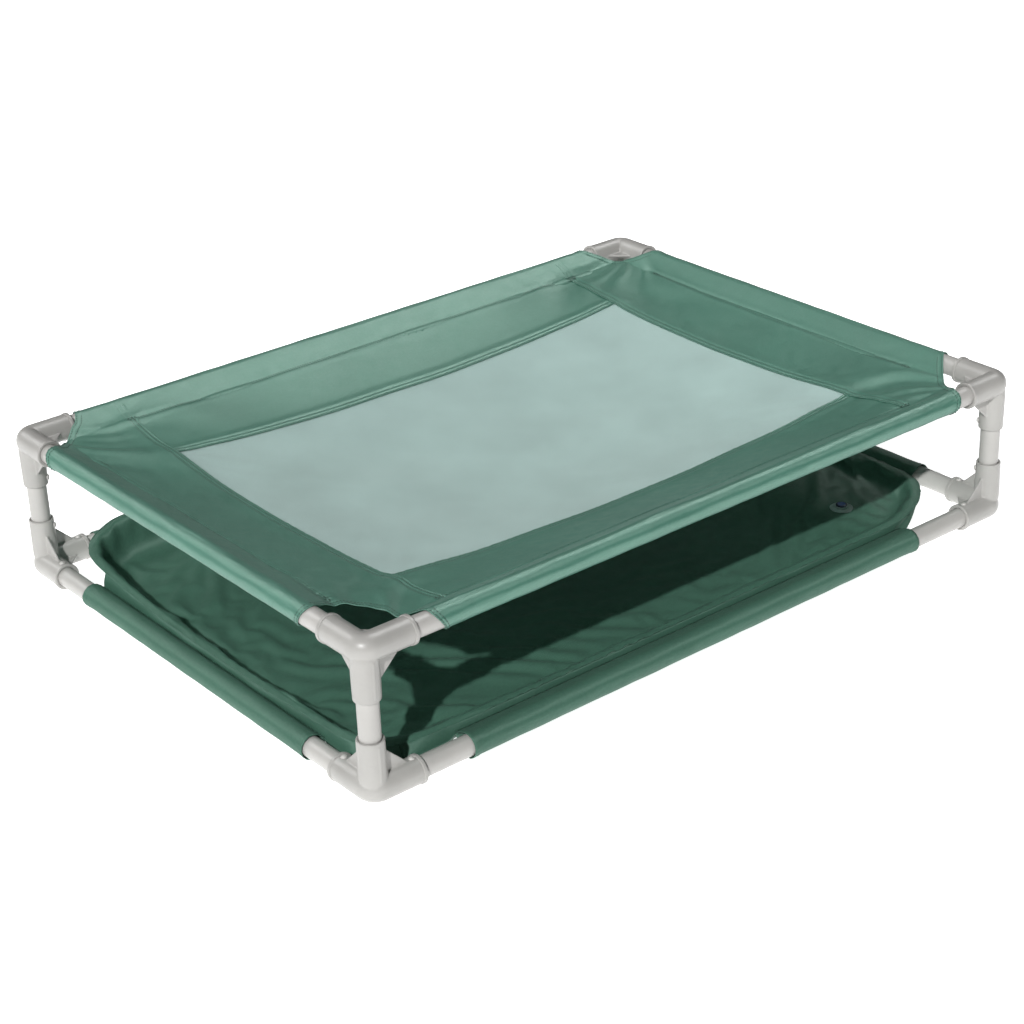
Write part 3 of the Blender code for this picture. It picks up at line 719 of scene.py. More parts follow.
def add_fittings():
    mesh = fitting_mesh()
    cap = screw_mesh()
    for corner in CORNERS:
        for upper, level in ((False, "lower"), (True, "upper")):
            place = corner_place(corner, upper)
            made = new_object(f"{level}_fitting_{corner}", mesh)
            made.matrix_world = place
            place_piece(made, FITTING_PVC, [f"{level}_corner_{corner}"])
            for socket, (seat, outward) in screw_seats().items():
                made = new_object(f"{level}_screw_cap_{corner}_{socket}", cap)
                made.matrix_world = place @ Matrix.Translation(seat) @ along(outward)
                place_piece(made, CAP_PLASTIC, [f"screw_{level}_{corner}_{socket}"])


def tube(name, node, axis):
    """A pipe as long as its node, with eased ends."""
    half = size(node)["XYZ".index(axis)] / 2
    inner, ease = PIPE_R - PIPE_WALL, 0.0004
    profile = [(PIPE_R, half - ease), (PIPE_R, -half + ease), (PIPE_R - ease, -half),
               (inner + ease, -half), (inner, -half + ease), (inner, half - ease),
               (inner + ease, half), (PIPE_R - ease, half)]
    mesh = smooth(turned(name, profile, closed=True))
    mesh.transform(along(AXES[axis]))
    made = new_object(name, mesh)
    made.location = middle(node)
    return place_piece(made, PIPE_PVC, [node])


def add_pipes():
    for level in ("lower", "upper"):
        for side, axis in (("front", "X"), ("back", "X"), ("left", "Y"), ("right", "Y")):
            tube(f"{level}_pipe_{side}", f"{level}_rail_{side}", axis)
    for corner in CORNERS:
        tube(f"leg_pipe_{corner}", f"leg_{corner}", "Z")


# ------------------------------------------------------------------ deck cloth

def smoothstep(low, high, value):
    t = np.clip((value - low) / (high - low), 0, 1)
    return t * t * (3 - 2 * t)


def over_rail(inside):
    """Height of the taut cloth above its hem, from the hem over to the top of the rail."""
    hem = np.hypot(HEM_IN, HEM_DROP)
    meet = math.acos(SLEEVE_R / hem) - math.atan2(HEM_DROP, HEM_IN)
    meet_in, meet_up = SLEEVE_R * math.cos(meet), SLEEVE_R * math.sin(meet)
    share = (HEM_IN - inside) / (HEM_IN - meet_in)
    straight = meet_up * share - HEM_DROP * (1 - share)
    ring = np.sqrt(np.maximum(SLEEVE_R ** 2 - inside ** 2, 0))
    return np.maximum(np.where(inside < meet_in, ring, straight) + HEM_DROP, 0)


def deck_sag(x, y):
    lengthwise = np.maximum(1 - np.abs(x / HEM_X) ** FLATNESS, 0)
    crosswise = np.maximum(1 - np.abs(y / HEM_Y) ** FLATNESS, 0)
    rise = np.maximum(over_rail(HALF_X - np.abs(x)), over_rail(HALF_Y - np.abs(y)))
    return UPPER_Z - HEM_DROP - SAG * lengthwise * crosswise + rise


def curve_point(p0, p1, p2, p3, t):
    """The point a share t of the way from p1 to p2 on a smooth curve through all four."""
    return 0.5 * (2 * p1 + (p2 - p0) * t + (2 * p0 - 5 * p1 + 4 * p2 - p3) * t ** 2
                  + (3 * p1 - p0 - 3 * p2 + p3) * t ** 3)


def corner_edge(corner, steps=9):
    """The corner's cut edge as a fine line, from the short rail to the long one."""
    sx, sy = CORNERS[corner]
    points = np.array(CORNER_EDGE[corner])
    ends = [2 * points[0] - points[1], *points, 2 * points[-1] - points[-2]]
    fine = np.array([curve_point(*four, t) for four in zip(ends, ends[1:], ends[2:], ends[3:])
                     for t in np.arange(steps) / steps] + [points[-1]])
    return np.stack([sx * (HALF_X - fine[:, 0]), sy * (HALF_Y - fine[:, 1])], axis=1)


def sleeve_ends(corner):
    """Where the deck's sleeves end at a corner: on the long rail, on the short rail."""
    edge = corner_edge(corner)
    return edge[-1], edge[0]


def near_line(x, y, line):
    """Distance from each point to a fine polyline."""
    flat = np.stack([np.ravel(x), np.ravel(y)], axis=1)
    gaps = np.full(len(flat), np.inf)
    for point in line:
        gaps = np.minimum(gaps, np.hypot(flat[:, 0] - point[0], flat[:, 1] - point[1]))
    return gaps.reshape(np.shape(x))


def puckers(x, y):
    """Soft folds that fan out from each corner, where the cloth is pulled two ways."""
    lift = np.zeros(np.shape(x))
    for number, (sx, sy) in enumerate(CORNERS.values()):
        in_x, in_y = HALF_X - sx * x, HALF_Y - sy * y
        reach = np.hypot(in_x, in_y)
        angle = np.arctan2(in_y, in_x)
        bent = angle + 0.10 * np.sin(reach * 31 + number)
        broad = np.cos(bent * 9.5 + 1.7 * number) + 0.5 * np.cos(bent * 17 + 0.6 * number + 1)
        fine = np.cos(bent * 29 + 2.1 * number)
        fold = 0.0021 * broad * np.exp(-((reach - 0.150) / 0.095) ** 2)
        fold += 0.0006 * fine * np.exp(-((reach - 0.115) / 0.045) ** 2)
        lift += fold * smoothstep(0.010, 0.045, np.minimum(in_x, in_y))
    return lift


def slack(x, y):
    """Slow, uneven waves of a cloth that isn't pulled quite flat."""
    waves = np.sin(x * 21 + y * 9 + 0.6) + 0.7 * np.sin(x * 37 - y * 23 + 2.1)
    waves += 0.6 * np.sin(y * 41 + x * 6 + 1.2)
    return 0.0005 * waves


def stitch_dip(gap, depth=0.0009, width=0.0020):
    """The groove that a row of stitches pulls into the cloth, and the swell beside it."""
    swell = 0.35 * depth * np.exp(-((gap - 0.005) / 0.004) ** 2)
    return -depth * np.exp(-(gap / width) ** 2) + swell


def seam_dips(gap):
    """The grooves of the two rows of stitches round the mesh."""
    return sum(stitch_dip(np.abs(gap - row)) for row in SEAM_ROWS)


def gathers(position, gap, depth=0.00045):
    """Fine puckers along a seam, uneven and fading away from it."""
    ripple = np.sin(position * 620 + 2.2 * np.sin(position * 91)) * np.sin(position * 143 + 1.0)
    return depth * ripple * np.exp(-(gap / 0.009) ** 2)


def rail_hems(x, y):
    """The seams beside both rails: two rows of stitches, with the puckers they draw."""
    z = np.zeros(np.shape(x))
    for own, position, last in ((HEM_X - np.abs(x), y, HALF_Y - SEWN_SHORT),
                                (HEM_Y - np.abs(y), x, HALF_X - SEWN_LONG)):
        sewn = 1 - smoothstep(last - 0.004, last + 0.008, np.abs(position))
        dips = stitch_dip(np.abs(own - HEM_ROWS[0])) + stitch_dip(np.abs(own - HEM_ROWS[1]), 0.0004)
        z += sewn * (dips + gathers(position, np.abs(own - 0.003)))
    return z


def short_panel_top(side, x, y):
    """Height of a short side's border panel, laid over the long panels and the mesh."""
    z = deck_sag(x, y) + puckers(x, y) + slack(x, y) + rail_hems(x, y)
    seam = np.abs(x) - FIELD_X
    thick = smoothstep(FIELD_Y - 0.020, FIELD_Y - 0.004, np.abs(y))
    thick *= 1 - smoothstep(FIELD_Y + OVERLAP + 0.010, FIELD_Y + OVERLAP + 0.030, np.abs(y))
    over = (0.0012 + 0.0009 * thick) * (np.abs(y) < HEM_Y)
    z += over * (1 - smoothstep(OVERLAP, OVERLAP + 0.022, seam))
    z += seam_dips(seam) + gathers(y, seam)
    for end in ("front", "back"):
        edge = near_line(x, y, corner_edge(f"{end}_{side}"))
        z += 0.0006 * (1 - smoothstep(BAND - 0.0014, BAND + 0.0006, edge))
        z += stitch_dip(np.abs(edge - EDGE_ROWS[1]), 0.0005, 0.0014)
    return z


def long_panel_top(side, x, y):
    """Height of a long side's border panel, laid over the mesh."""
    z = deck_sag(x, y) + puckers(x, y) + slack(x, y) + rail_hems(x, y)
    field = np.abs(y) - FIELD_Y
    z += 0.0010 * (1 - smoothstep(OVERLAP, OVERLAP + 0.015, field))
    z += seam_dips(field) + gathers(x, field)
    return z


def section(steps=34):
    """Cross-section of a sleeve from the top of its rail, round outside it and under the hem.

    Points are (inward, up) from the rail's axis; the first is on top of the rail.
    """
    spread = math.acos(SLEEVE_R / np.hypot(HEM_IN, HEM_DROP)) + math.atan2(HEM_DROP, HEM_IN)
    turn = np.linspace(math.pi / 2, 2 * math.pi - spread, steps)
    ring = np.stack([SLEEVE_R * np.cos(turn), SLEEVE_R * np.sin(turn)], axis=1)
    t = np.linspace(0, 1, 6)[1:, None]
    under = ring[-1] * (1 - t) + np.array([HEM_IN, -HEM_DROP - 0.0014]) * t
    tail = np.array([[HEM_IN + TAIL * 0.5, -HEM_DROP - 0.0030],
                     [HEM_IN + TAIL, -HEM_DROP - 0.0056]])
    return np.concatenate([ring, under, tail])


SIDES = {
    "front": (np.array([0.0, 1.0]), np.array([0.0, -HALF_Y]), 0),
    "back": (np.array([0.0, -1.0]), np.array([0.0, HALF_Y]), 0),
    "left": (np.array([1.0, 0.0]), np.array([-HALF_X, 0.0]), 1),
    "right": (np.array([-1.0, 0.0]), np.array([HALF_X, 0.0]), 1),
}


def end_slant(side, end, z):
    """How far a sleeve's end on top of its rail is ahead of its end below; none in the basin."""
    if z < UPPER_Z:
        return 0.0
    far = "back" if end > 0 else "front"
    near = "right" if end > 0 else "left"
    along_long = side in ("front", "back")
    corner = f"{side}_{near}" if along_long else f"{far}_{side}"
    return END_SLANT[corner][0 if along_long else 1]


def sleeve_grid(side, positions, first, ends, profile, z=UPPER_Z, lumps=0.00035):
    """Rows of the section along a rail; first, if given, is the row of points it starts from.

    ends are the positions of the sleeve's own free ends, where a folded hem thickens it.
    """
    inward, origin, axis = SIDES[side]
    positions = np.asarray(positions)
    swell = np.zeros(len(positions))
    flare = np.zeros(len(positions))
    slant = np.zeros(len(positions))
    for end in ends:
        gap = np.abs(positions - end)
        slant -= np.sign(end) * end_slant(side, end, z) * np.exp(-gap / 0.045)
        swell += 0.0006 * (1 - smoothstep(BAND - 0.0015, BAND + 0.0005, gap))
        swell -= 0.0004 * np.exp(-((gap - 0.0045) / 0.0011) ** 2)
        swell -= 0.0004 * np.exp(-((gap - 0.0085) / 0.0011) ** 2)
        flare += np.exp(-gap / 0.03)
    grid = np.zeros((len(positions), len(profile), 3))
    radius = np.hypot(profile[:, 0], profile[:, 1])
    angle = np.arctan2(profile[:, 1], profile[:, 0])
    hug = np.exp(-((radius - SLEEVE_R) / 0.008) ** 2)
    turned_by = ((angle - math.pi / 2 + 1e-6) % (2 * math.pi)) / math.pi
    under = smoothstep(0, 1, turned_by) + FLAP_SLANT * smoothstep(1, 1.3, turned_by)
    for row, position in enumerate(positions):
        wave = lumps * (np.sin(position * 33 + angle * 2) + 0.6 * np.sin(position * 71 - angle * 3))
        crimp = 0.0005 * flare[row] * np.sin(angle * 7 + position * 90)
        grown = 1 + (np.abs(wave) * 0.8 + swell[row] + np.abs(crimp)) * hug / radius
        across = profile[:, 0] * grown
        grid[row, :, 0:2] = origin + np.outer(across, inward)
        grid[row, :, axis] = position + slant[row] * under
        grid[row, :, 2] = z + profile[:, 1] * grown
    if first is not None:
        grid[:, 0, :] = first
    return grid


def eased(start, end, count, crowd=0.6):
    """Places from start to end that crowd towards both."""
    t = np.linspace(0, 1, count)
    return start + (end - start) * (t - crowd * np.sin(2 * np.pi * t) / (2 * np.pi))


def add_short_panel(side, rows=240, straight=44):
    sx = -1 if side == "left" else 1
    edges = []
    for end in ("front", "back"):
        corner = f"{end}_{side}"
        arc = corner_edge(corner, ARC_STEPS // (len(CORNER_EDGE[corner]) - 1))
        arc = resampled(arc, eased(0, 1, ARC_POINTS, -0.2))
        reach = eased(abs(arc[-1][0]), FIELD_X, straight, 0.6)[1:]
        line = np.stack([sx * reach, np.full(len(reach), arc[-1][1])], axis=1)
        edges.append(np.concatenate([arc, line]))
    rungs = eased(0, 1, rows, 0.8)
    flat = edges[0][None] * (1 - rungs[:, None, None]) + edges[1][None] * rungs[:, None, None]
    x, y = flat[..., 0], flat[..., 1]
    grid = np.stack([x, y, short_panel_top(side, x, y)], axis=2)
    cloth = Sheet()
    cloth.add(grid, np.stack([x, y], axis=2))

    profile = section()
    own = grid[:, 0]
    wrapped = sleeve_grid(side, own[:, 1], own, (own[0, 1], own[-1, 1]), profile)
    cloth.add(wrapped, cloth_uv(wrapped, 0.3 * sx))
    for end, row in (("front", 0), ("back", -1)):
        start = grid[row, ARC_POINTS - 1:]
        stub = sleeve_grid(end, start[:, 0], start, (start[0, 0],), profile)
        cloth.add(stub, cloth_uv(stub, 0.1, 0.2 * sx))
    made = cloth.build(f"deck_border_{side}")
    return place_piece(made, VINYL, [f"deck_panel_{side}"])


def add_long_panel(side, columns=260, rows=64):
    sy = -1 if side == "front" else 1
    xs = eased(-FIELD_X - OVERLAP, FIELD_X + OVERLAP, columns, 0.2)
    ys = sy * eased(HALF_Y, FIELD_Y, rows, 0.6)
    x, y = np.meshgrid(xs, ys, indexing="ij")
    grid = np.stack([x, y, long_panel_top(side, x, y)], axis=2)
    cloth = Sheet()
    cloth.add(grid, np.stack([x, y], axis=2))
    wrapped = sleeve_grid(side, xs, grid[:, 0], (), section())
    cloth.add(wrapped, cloth_uv(wrapped, 0.3 * sy))
    made = cloth.build(f"deck_border_{side}")
    return place_piece(made, VINYL, [f"deck_panel_{side}"])


def mesh_top(x, y):
    edge = np.minimum(FIELD_X - np.abs(x), FIELD_Y - np.abs(y))
    ripple = 0.0009 * np.sin(x * 30 + 11 * y + 0.4) * np.sin(y * 17 - x * 5)
    near_corner = np.exp(-np.hypot(np.abs(x) - FIELD_X, np.abs(y) - FIELD_Y) / 0.06)
    fold = 0.0012 * near_corner * np.cos(130 * (np.abs(x) - FIELD_X - np.abs(y) + FIELD_Y))
    pulled = puckers(x, y) + slack(x, y) + (ripple + fold) * smoothstep(0, 0.045, edge)
    return deck_sag(x, y) - 0.0006 + pulled


def add_field():
    xs = np.linspace(-FIELD_X - OVERLAP, FIELD_X + OVERLAP, 150)
    ys = np.linspace(-FIELD_Y - OVERLAP, FIELD_Y + OVERLAP, 96)
    x, y = np.meshgrid(xs, ys, indexing="ij")
    grid = np.stack([x, y, mesh_top(x, y)], axis=2)
    cloth = Sheet()
    cloth.add(grid, np.stack([x, y], axis=2))
    made = cloth.build("deck_field", 0.0007)
    return place_piece(made, DECK_MESH, ["deck_mesh"])


def resampled(line, shares):
    """The line again, at these shares of its length."""
    steps = np.linalg.norm(np.diff(line, axis=0), axis=1)
    distance = np.concatenate([[0], np.cumsum(steps)]) / steps.sum()
    return np.stack([np.interp(shares, distance, line[:, axis]) for axis in (0, 1)], axis=1)


# ------------------------------------------------------------------ stitches

def stitches(name, lines):
    """Thread stitches along lines of (points, normals), as one mesh."""
    points, faces = [], []
    rings = ((-0.5, 0.25), (-0.3, 0.9), (0.3, 0.9), (0.5, 0.25))
    for line, normals in lines:
        steps = np.linalg.norm(np.diff(line, axis=0), axis=1)
        distance = np.concatenate([[0], np.cumsum(steps)])
        for centre in np.arange(STITCH_PITCH, distance[-1] - STITCH_PITCH / 2, STITCH_PITCH):
            spot, up, ahead = (np.array([np.interp(at, distance, source[:, k]) for k in range(3)])
                               for at, source in ((centre, line), (centre, normals),
                                                  (centre + STITCH_LENGTH / 2, line)))
            forward = (ahead - spot) / max(np.linalg.norm(ahead - spot), 1e-9)
            up = up / np.linalg.norm(up)
            side = np.cross(forward, up)
            first = len(points)
            for shift, swell in rings:
                sink = THREAD_R * (0.3 - 1.1 * (1 - swell))
                base = spot + forward * shift * STITCH_LENGTH + up * sink
                for a, b in ((1, 0), (0, 1), (-1, 0), (0, -1)):
                    points.append(tuple(base + THREAD_R * swell * (side * a * 1.25 + up * b)))
            for ring in range(len(rings) - 1):
                for step in range(4):
                    here = first + ring * 4
                    after = (step + 1) % 4
                    faces.append((here + step, here + after, here + 4 + after, here + 4 + step))
            last = first + 4 * (len(rings) - 1)
            faces.append((first + 3, first + 2, first + 1, first))
            faces.append((last, last + 1, last + 2, last + 3))
    mesh = bpy.data.meshes.new(name)
    mesh.from_pydata(points, [], faces)
    mesh.shade_smooth()
    return new_object(name, mesh)


def on_top(line, top):
    """A line of (x, y) laid on a height function, with upward normals."""
    x, y = line[:, 0], line[:, 1]
    z = top(x, y) + 0.0001
    step = 0.002
    slope_x = (top(x + step, y) - top(x - step, y)) / (2 * step)
    slope_y = (top(x, y + step) - top(x, y - step)) / (2 * step)
    normals = np.stack([-slope_x, -slope_y, np.ones(len(x))], axis=1)
    return np.stack([x, y, z], axis=1), normals


def straight_line(start, end, step=0.004):
    count = max(2, int(math.dist(start, end) / step))
    t = np.linspace(0, 1, count)[:, None]
    return np.array(start) * (1 - t) + np.array(end) * t


def tack(start, ahead, length=0.016, width=0.0035, turns=7):
    """A short zigzag that locks the end of a seam."""
    t = np.linspace(0, 1, turns)[:, None]
    swing = width * np.where(np.arange(turns) % 2, 1, -1)[:, None]
    ahead = np.array(ahead)
    return np.array(start) + ahead * length * t + np.array([-ahead[1], ahead[0]]) * swing


def ring_line(side, end, inset):
    """A line round a sleeve near its end, from the top of its rail to its underside."""
    place = [end - np.sign(end) * inset]
    line = sleeve_grid(side, place, None, (end,), section()[:RING_POINTS])[0]
    inward, origin, axis = SIDES[side]
    normals = np.zeros_like(line)
    normals[:, :2] = line[:, :2] - origin
    normals[:, axis] = 0
    normals[:, 2] = line[:, 2] - UPPER_Z
    normals /= np.linalg.norm(normals, axis=1)[:, None]
    return line + normals * 0.0004, normals


def inset_edge(corner, inset):
    """A line beside a corner's cut edge, this far into the cloth."""
    edge = resampled(corner_edge(corner), np.linspace(0, 1, EDGE_POINTS))
    ahead = np.gradient(edge, axis=0)
    ahead /= np.linalg.norm(ahead, axis=1)[:, None]
    side = np.stack([-ahead[:, 1], ahead[:, 0]], axis=1)
    half_way = EDGE_POINTS // 2
    if side[half_way] @ -edge[half_way] < 0:
        side = -side
    return edge + side * inset


def short_panel_lines(side):
    sx = -1 if side == "left" else 1

    def top(x, y):
        return short_panel_top(side, x, y)

    lines = []
    for inset in HEM_ROWS:
        x, y = sx * (HEM_X - inset), HEM_Y - inset
        last = HALF_Y - SEWN_SHORT
        lines.append(on_top(straight_line((x, -last), (x, last)), top))
        for sy in (-1, 1):
            lines.append(on_top(straight_line((sx * (HALF_X - SEWN_LONG), sy * y),
                                              (sx * (FIELD_X + 0.004), sy * y)), top))
    for sy in (-1, 1):
        for across, lengthwise, ahead in ((HEM_X - 0.004, HALF_Y - SEWN_SHORT, (0, -sy)),
                                          (HALF_X - SEWN_LONG, HEM_Y - 0.004, (-sx, 0))):
            lines.append(on_top(tack((sx * across, sy * lengthwise), ahead), top))
    for inset in SEAM_ROWS:
        x = sx * (FIELD_X + inset)
        lines.append(on_top(straight_line((x, -HALF_Y + 0.010), (x, HALF_Y - 0.010)), top))
    for end in ("front", "back"):
        for inset in EDGE_ROWS:
            lines.append(on_top(inset_edge(f"{end}_{side}", inset)[2:-2], top))
            on_long, on_short = sleeve_ends(f"{end}_{side}")
            lines.append(ring_line(side, on_short[1], inset))
            lines.append(ring_line(end, on_long[0], inset))
    return lines


def long_panel_lines(side):
    sy = -1 if side == "front" else 1

    def top(x, y):
        return long_panel_top(side, x, y)

    rows = [HEM_Y - inset for inset in HEM_ROWS] + [FIELD_Y + inset for inset in SEAM_ROWS]
    return [on_top(straight_line((-FIELD_X, sy * y), (FIELD_X, sy * y)), top) for y in rows]


def add_deck():
    for side in ("left", "right"):
        made = add_short_panel(side)
        sewn = stitches(f"deck_border_{side}_stitches", short_panel_lines(side))
        place_piece(sewn, THREAD)
    for side in ("front", "back"):
        made = add_long_panel(side)
        sewn = stitches(f"deck_border_{side}_stitches", long_panel_lines(side))
        place_piece(sewn, THREAD)
    add_field()


# ------------------------------------------------------------------ basin

def smooth_loop(points, steps=14):
    """A closed curve through the points, as a fine polyline."""
    fours = zip(*(np.roll(np.array(points), shift, axis=0) for shift in (1, 0, -1, -2)))
    return np.array([curve_point(*four, t) for four in fours for t in np.arange(steps) / steps])


RIM_LINE = smooth_loop(RIM)


def between_corners(first, last):
    """The part of the rim from one corner's middle to the next one's, going clockwise."""
    places = [(-0.483, -0.331), (-0.493, 0.324), (0.475, 0.316), (0.476, -0.306)]
    start, end = (int(np.argmin(np.hypot(*(RIM_LINE[:, :2] - places[k]).T)))
                  for k in (first, last))
    if end <= start:
        end += len(RIM_LINE)
    return RIM_LINE[np.arange(start, end + 1) % len(RIM_LINE), :2]


def crowded(length):
    """Shares of a length with close steps in the hem at both ends."""
    edge = np.array([0, 0.003, 0.006, 0.0085, 0.0105, 0.014, 0.020, 0.028])
    inner = np.linspace(0.028, length - 0.028, int(length / LINER_CELL))[1:-1]
    return np.concatenate([edge, inner, length - edge[::-1]]) / length


def rim_gap(x, y):
    """Distance inside the rim, and the rim's height at the nearest point of it."""
    flat = np.stack([np.ravel(x), np.ravel(y)], axis=1)
    away = np.hypot(flat[:, None, 0] - RIM_LINE[None, :, 0],
                    flat[:, None, 1] - RIM_LINE[None, :, 1])
    weight = np.exp(-((away - away.min(axis=1)[:, None]) / 0.012))
    height = (weight * RIM_LINE[None, :, 2]).sum(axis=1) / weight.sum(axis=1)
    return away.min(axis=1).reshape(np.shape(x)), height.reshape(np.shape(x))


def crumples(x, y):
    """Folds that run down from the rim's corners, strongest at the front right."""
    lift = np.zeros(np.shape(x))
    depths = (0.0024, 0.0034, 0.0026, 0.0022)
    for number, ((sx, sy), depth) in enumerate(zip(CORNERS.values(), depths)):
        in_x, in_y = HALF_X - sx * x, HALF_Y - sy * y
        reach = np.hypot(in_x, in_y)
        bent = np.arctan2(in_y, in_x) + 0.16 * np.sin(reach * 43 + 2 * number)
        ridge = np.cos(bent * 12 + number) + 0.6 * np.cos(bent * 27 + 2.3 * number)
        lift += depth * ridge * np.exp(-((reach - 0.135) / 0.075) ** 2)
    for place, across, half in ((x, HALF_Y - np.abs(y), HALF_X), (y, HALF_X - np.abs(x), HALF_Y)):
        slow = np.sin(place * 38 + 1.5 * np.sin(place * 17)) + 0.5 * np.sin(place * 83 + 1)
        near = np.exp(-((across - 0.062) / 0.026) ** 2) * (np.abs(place) < half)
        lift += 0.0012 * slow * near
    return lift


def liner_mesh():
    """The liner before it settles: a level bottom that turns up to its rim."""
    us, vs = crowded(1.0), crowded(0.7)
    left, back = between_corners(0, 1), between_corners(1, 2)
    right, front = between_corners(2, 3)[::-1], between_corners(3, 0)[::-1]
    left, right = resampled(left, vs), resampled(right, vs)
    front, back = resampled(front, us), resampled(back, us)
    u, v = us[:, None, None], vs[None, :, None]
    place = (front[:, None] * (1 - v) + back[:, None] * v + left[None] * (1 - u) + right[None] * u
             - (front[0] * (1 - u) * (1 - v) + front[-1] * u * (1 - v)
                + back[0] * (1 - u) * v + back[-1] * u * v))
    x, y = place[..., 0], place[..., 1]
    gap, rise = rim_gap(x, y)
    crest = LOWER_Z + rise
    fall = np.exp(-(np.maximum(gap - RIM_BAND, 0) / RIM_SPREAD) ** 2)
    slope = -0.0045 * np.clip(1 - gap / RIM_BAND, 0, 1) ** 1.5
    folds = 0.0014 * np.sin(x * 17 + y * 43) * np.sin(x * 9 - y * 13 + 1)
    folds += crumples(x, y) * smoothstep(RIM_BAND, 0.026, gap)
    z = LINER_FLOOR + (crest + slope - LINER_FLOOR) * fall + folds * smoothstep(0.03, 0.08, gap)
    flat = np.stack([x, y, z], axis=2).reshape(-1, 3)
    faces = grid_faces(len(us), len(vs))
    return cloth_mesh("basin_liner_cloth", list(map(tuple, flat)), faces, flat[:, :2]), flat


def liner_pins(made, points):
    """Holds the liner's rim, and softly what is just inside it."""
    group = made.vertex_groups.new(name="pins")
    gaps, _ = rim_gap(points[:, 0], points[:, 1])
    for number, gap in enumerate(gaps):
        hold = next((hold for reach, hold in LINER_PINS if gap < reach), None)
        if hold is not None:
            group.add([number], hold, "REPLACE")
    return group.name


def settle_liner(made, points):
    """Lets the liner fall on the floor with a little spare cloth, then keeps that shape."""
    scene = bpy.context.scene
    bm = bmesh.new()
    bmesh.ops.create_cube(bm, size=1.0, matrix=Matrix.Translation((0, 0, 0.0015 - 0.5))
                          @ Matrix.Diagonal((2, 2, 1, 1)))
    ground = new_object("settling_ground", mesh_from(bm, "settling_ground"))
    ground.modifiers.new("Collision", "COLLISION")
    ground.collision.thickness_outer = CLOTH_GAP
    cloth = made.modifiers.new("Cloth", "CLOTH")
    for key, value in LINER_CLOTH.items():
        setattr(cloth.settings, key, value)
    cloth.settings.vertex_group_mass = liner_pins(made, points)
    cloth.collision_settings.distance_min = CLOTH_GAP
    cloth.point_cache.frame_start = 1
    cloth.point_cache.frame_end = LINER_FRAMES
    for number in range(1, LINER_FRAMES + 1):
        scene.frame_set(number)
    mesh = settled(made)
    bpy.data.objects.remove(ground)
    scene.frame_set(1)
    return mesh


def add_liner():
    mesh, points = liner_mesh()
    made = new_object("basin_liner_cloth", mesh)
    mesh = settle_liner(made, points)
    made = new_object("basin_liner_cloth", mesh)
    for vertex in mesh.vertices:
        gap = math.hypot(vertex.co.x - DRAIN.x, vertex.co.y - DRAIN.y)
        level = 1 - float(smoothstep(0.017, 0.045, gap))
        vertex.co.z += (LINER_FLOOR - vertex.co.z) * level
    gaps, _ = rim_gap(points[:, 0], points[:, 1])
    for vertex, gap in zip(mesh.vertices, gaps):
        vertex.co.z += 0.0012 * float(1 - smoothstep(RIM_BAND - 0.001, RIM_BAND + 0.0012, gap))
    mesh.shade_smooth()
    finer = made.modifiers.new("Finer", "SUBSURF")
    finer.levels = finer.render_levels = 1
    thicken(made, CLOTH)
    place_piece(made, LINER_VINYL, ["basin_liner"])
    sewn = stitches("basin_liner_stitches", [rim_stitches(mesh)])
    place_piece(sewn, THREAD)


def rim_stitches(mesh):
    """The line of the hem's stitches, laid on the settled liner."""
    inner = []
    count = len(RIM_LINE)
    for number in range(0, count, 3):
        ahead = RIM_LINE[(number + 2) % count] - RIM_LINE[number - 2]
        side = np.array([ahead[1], -ahead[0]]) / np.hypot(ahead[0], ahead[1])
        inner.append(RIM_LINE[number, :2] + side * (RIM_BAND - 0.0018))
    top = bmesh.new()
    top.from_mesh(mesh)
    tree = BVHTree.FromBMesh(top)
    top.free()
    line, normals = [], []
    for x, y in inner:
        place, normal, _, _ = tree.ray_cast(Vector((x, y, 0.3)), -UP)
        if place is not None:
            line.append(tuple(place + normal * 0.0002))
            normals.append(tuple(normal if normal.z > 0 else -normal))
    return np.array(line), np.array(normals)


# Where each sleeve's two layers meet, from its rail's axis, and the bottom of the crease inside it
SLEEVE_SEAM = {"front": (0.0220, 0.0080), "back": (0.0190, 0.0050),
               "left": (0.0175, 0.0045), "right": (0.0180, 0.0045)}
CREASE = {"front": (0.0275, -0.0030), "back": (0.0215, 0.0030),
          "left": (0.0182, 0.0040), "right": (0.0200, 0.0020)}
# How far each skirt runs past its sleeve's end at each corner: at its foot and at its rim
SKIRT_PAST = {
    ("front", "front_left"): (0.070, 0.066), ("left", "front_left"): (0.062, 0.056),
    ("front", "front_right"): (0.016, 0.080), ("right", "front_right"): (0.002, 0.016),
    ("left", "back_left"): (0.001, 0.003), ("back", "back_left"): (0.002, 0.030),
    ("back", "back_right"): (0.010, 0.050), ("right", "back_right"): (0.010, 0.035),
}


def basin_section(side):
    """Cross-section of a basin sleeve, from its seam over the rail and back to the seam."""
    seam = np.array(SLEEVE_SEAM[side])
    away = math.atan2(seam[1], seam[0])
    spread = math.acos(SLEEVE_R / np.hypot(*seam))
    turn = np.linspace(away + spread, away + 2 * math.pi - spread, 41)
    ring = np.stack([SLEEVE_R * np.cos(turn), SLEEVE_R * np.sin(turn)], axis=1)
    t = np.linspace(0, 1, 4)[:, None]
    over = seam * (1 - t) + ring[0] * t
    under = ring[-1] * (1 - t) + (seam - np.array([0.0006, 0.0012])) * t
    return np.concatenate([over[:-1], ring, under[1:]])


def rim_along(side, positions):
    """The rim beside each place along a side: how far inside the rail's axis, and how high."""
    inward, origin, axis = SIDES[side]
    inside = (RIM_LINE[:, :2] - origin) @ inward
    near = inside < 0.085
    order = np.argsort(RIM_LINE[near, axis])
    along_side = RIM_LINE[near, axis][order]
    return (np.interp(positions, along_side, inside[near][order]),
            np.interp(positions, along_side, RIM_LINE[near, 2][order]))


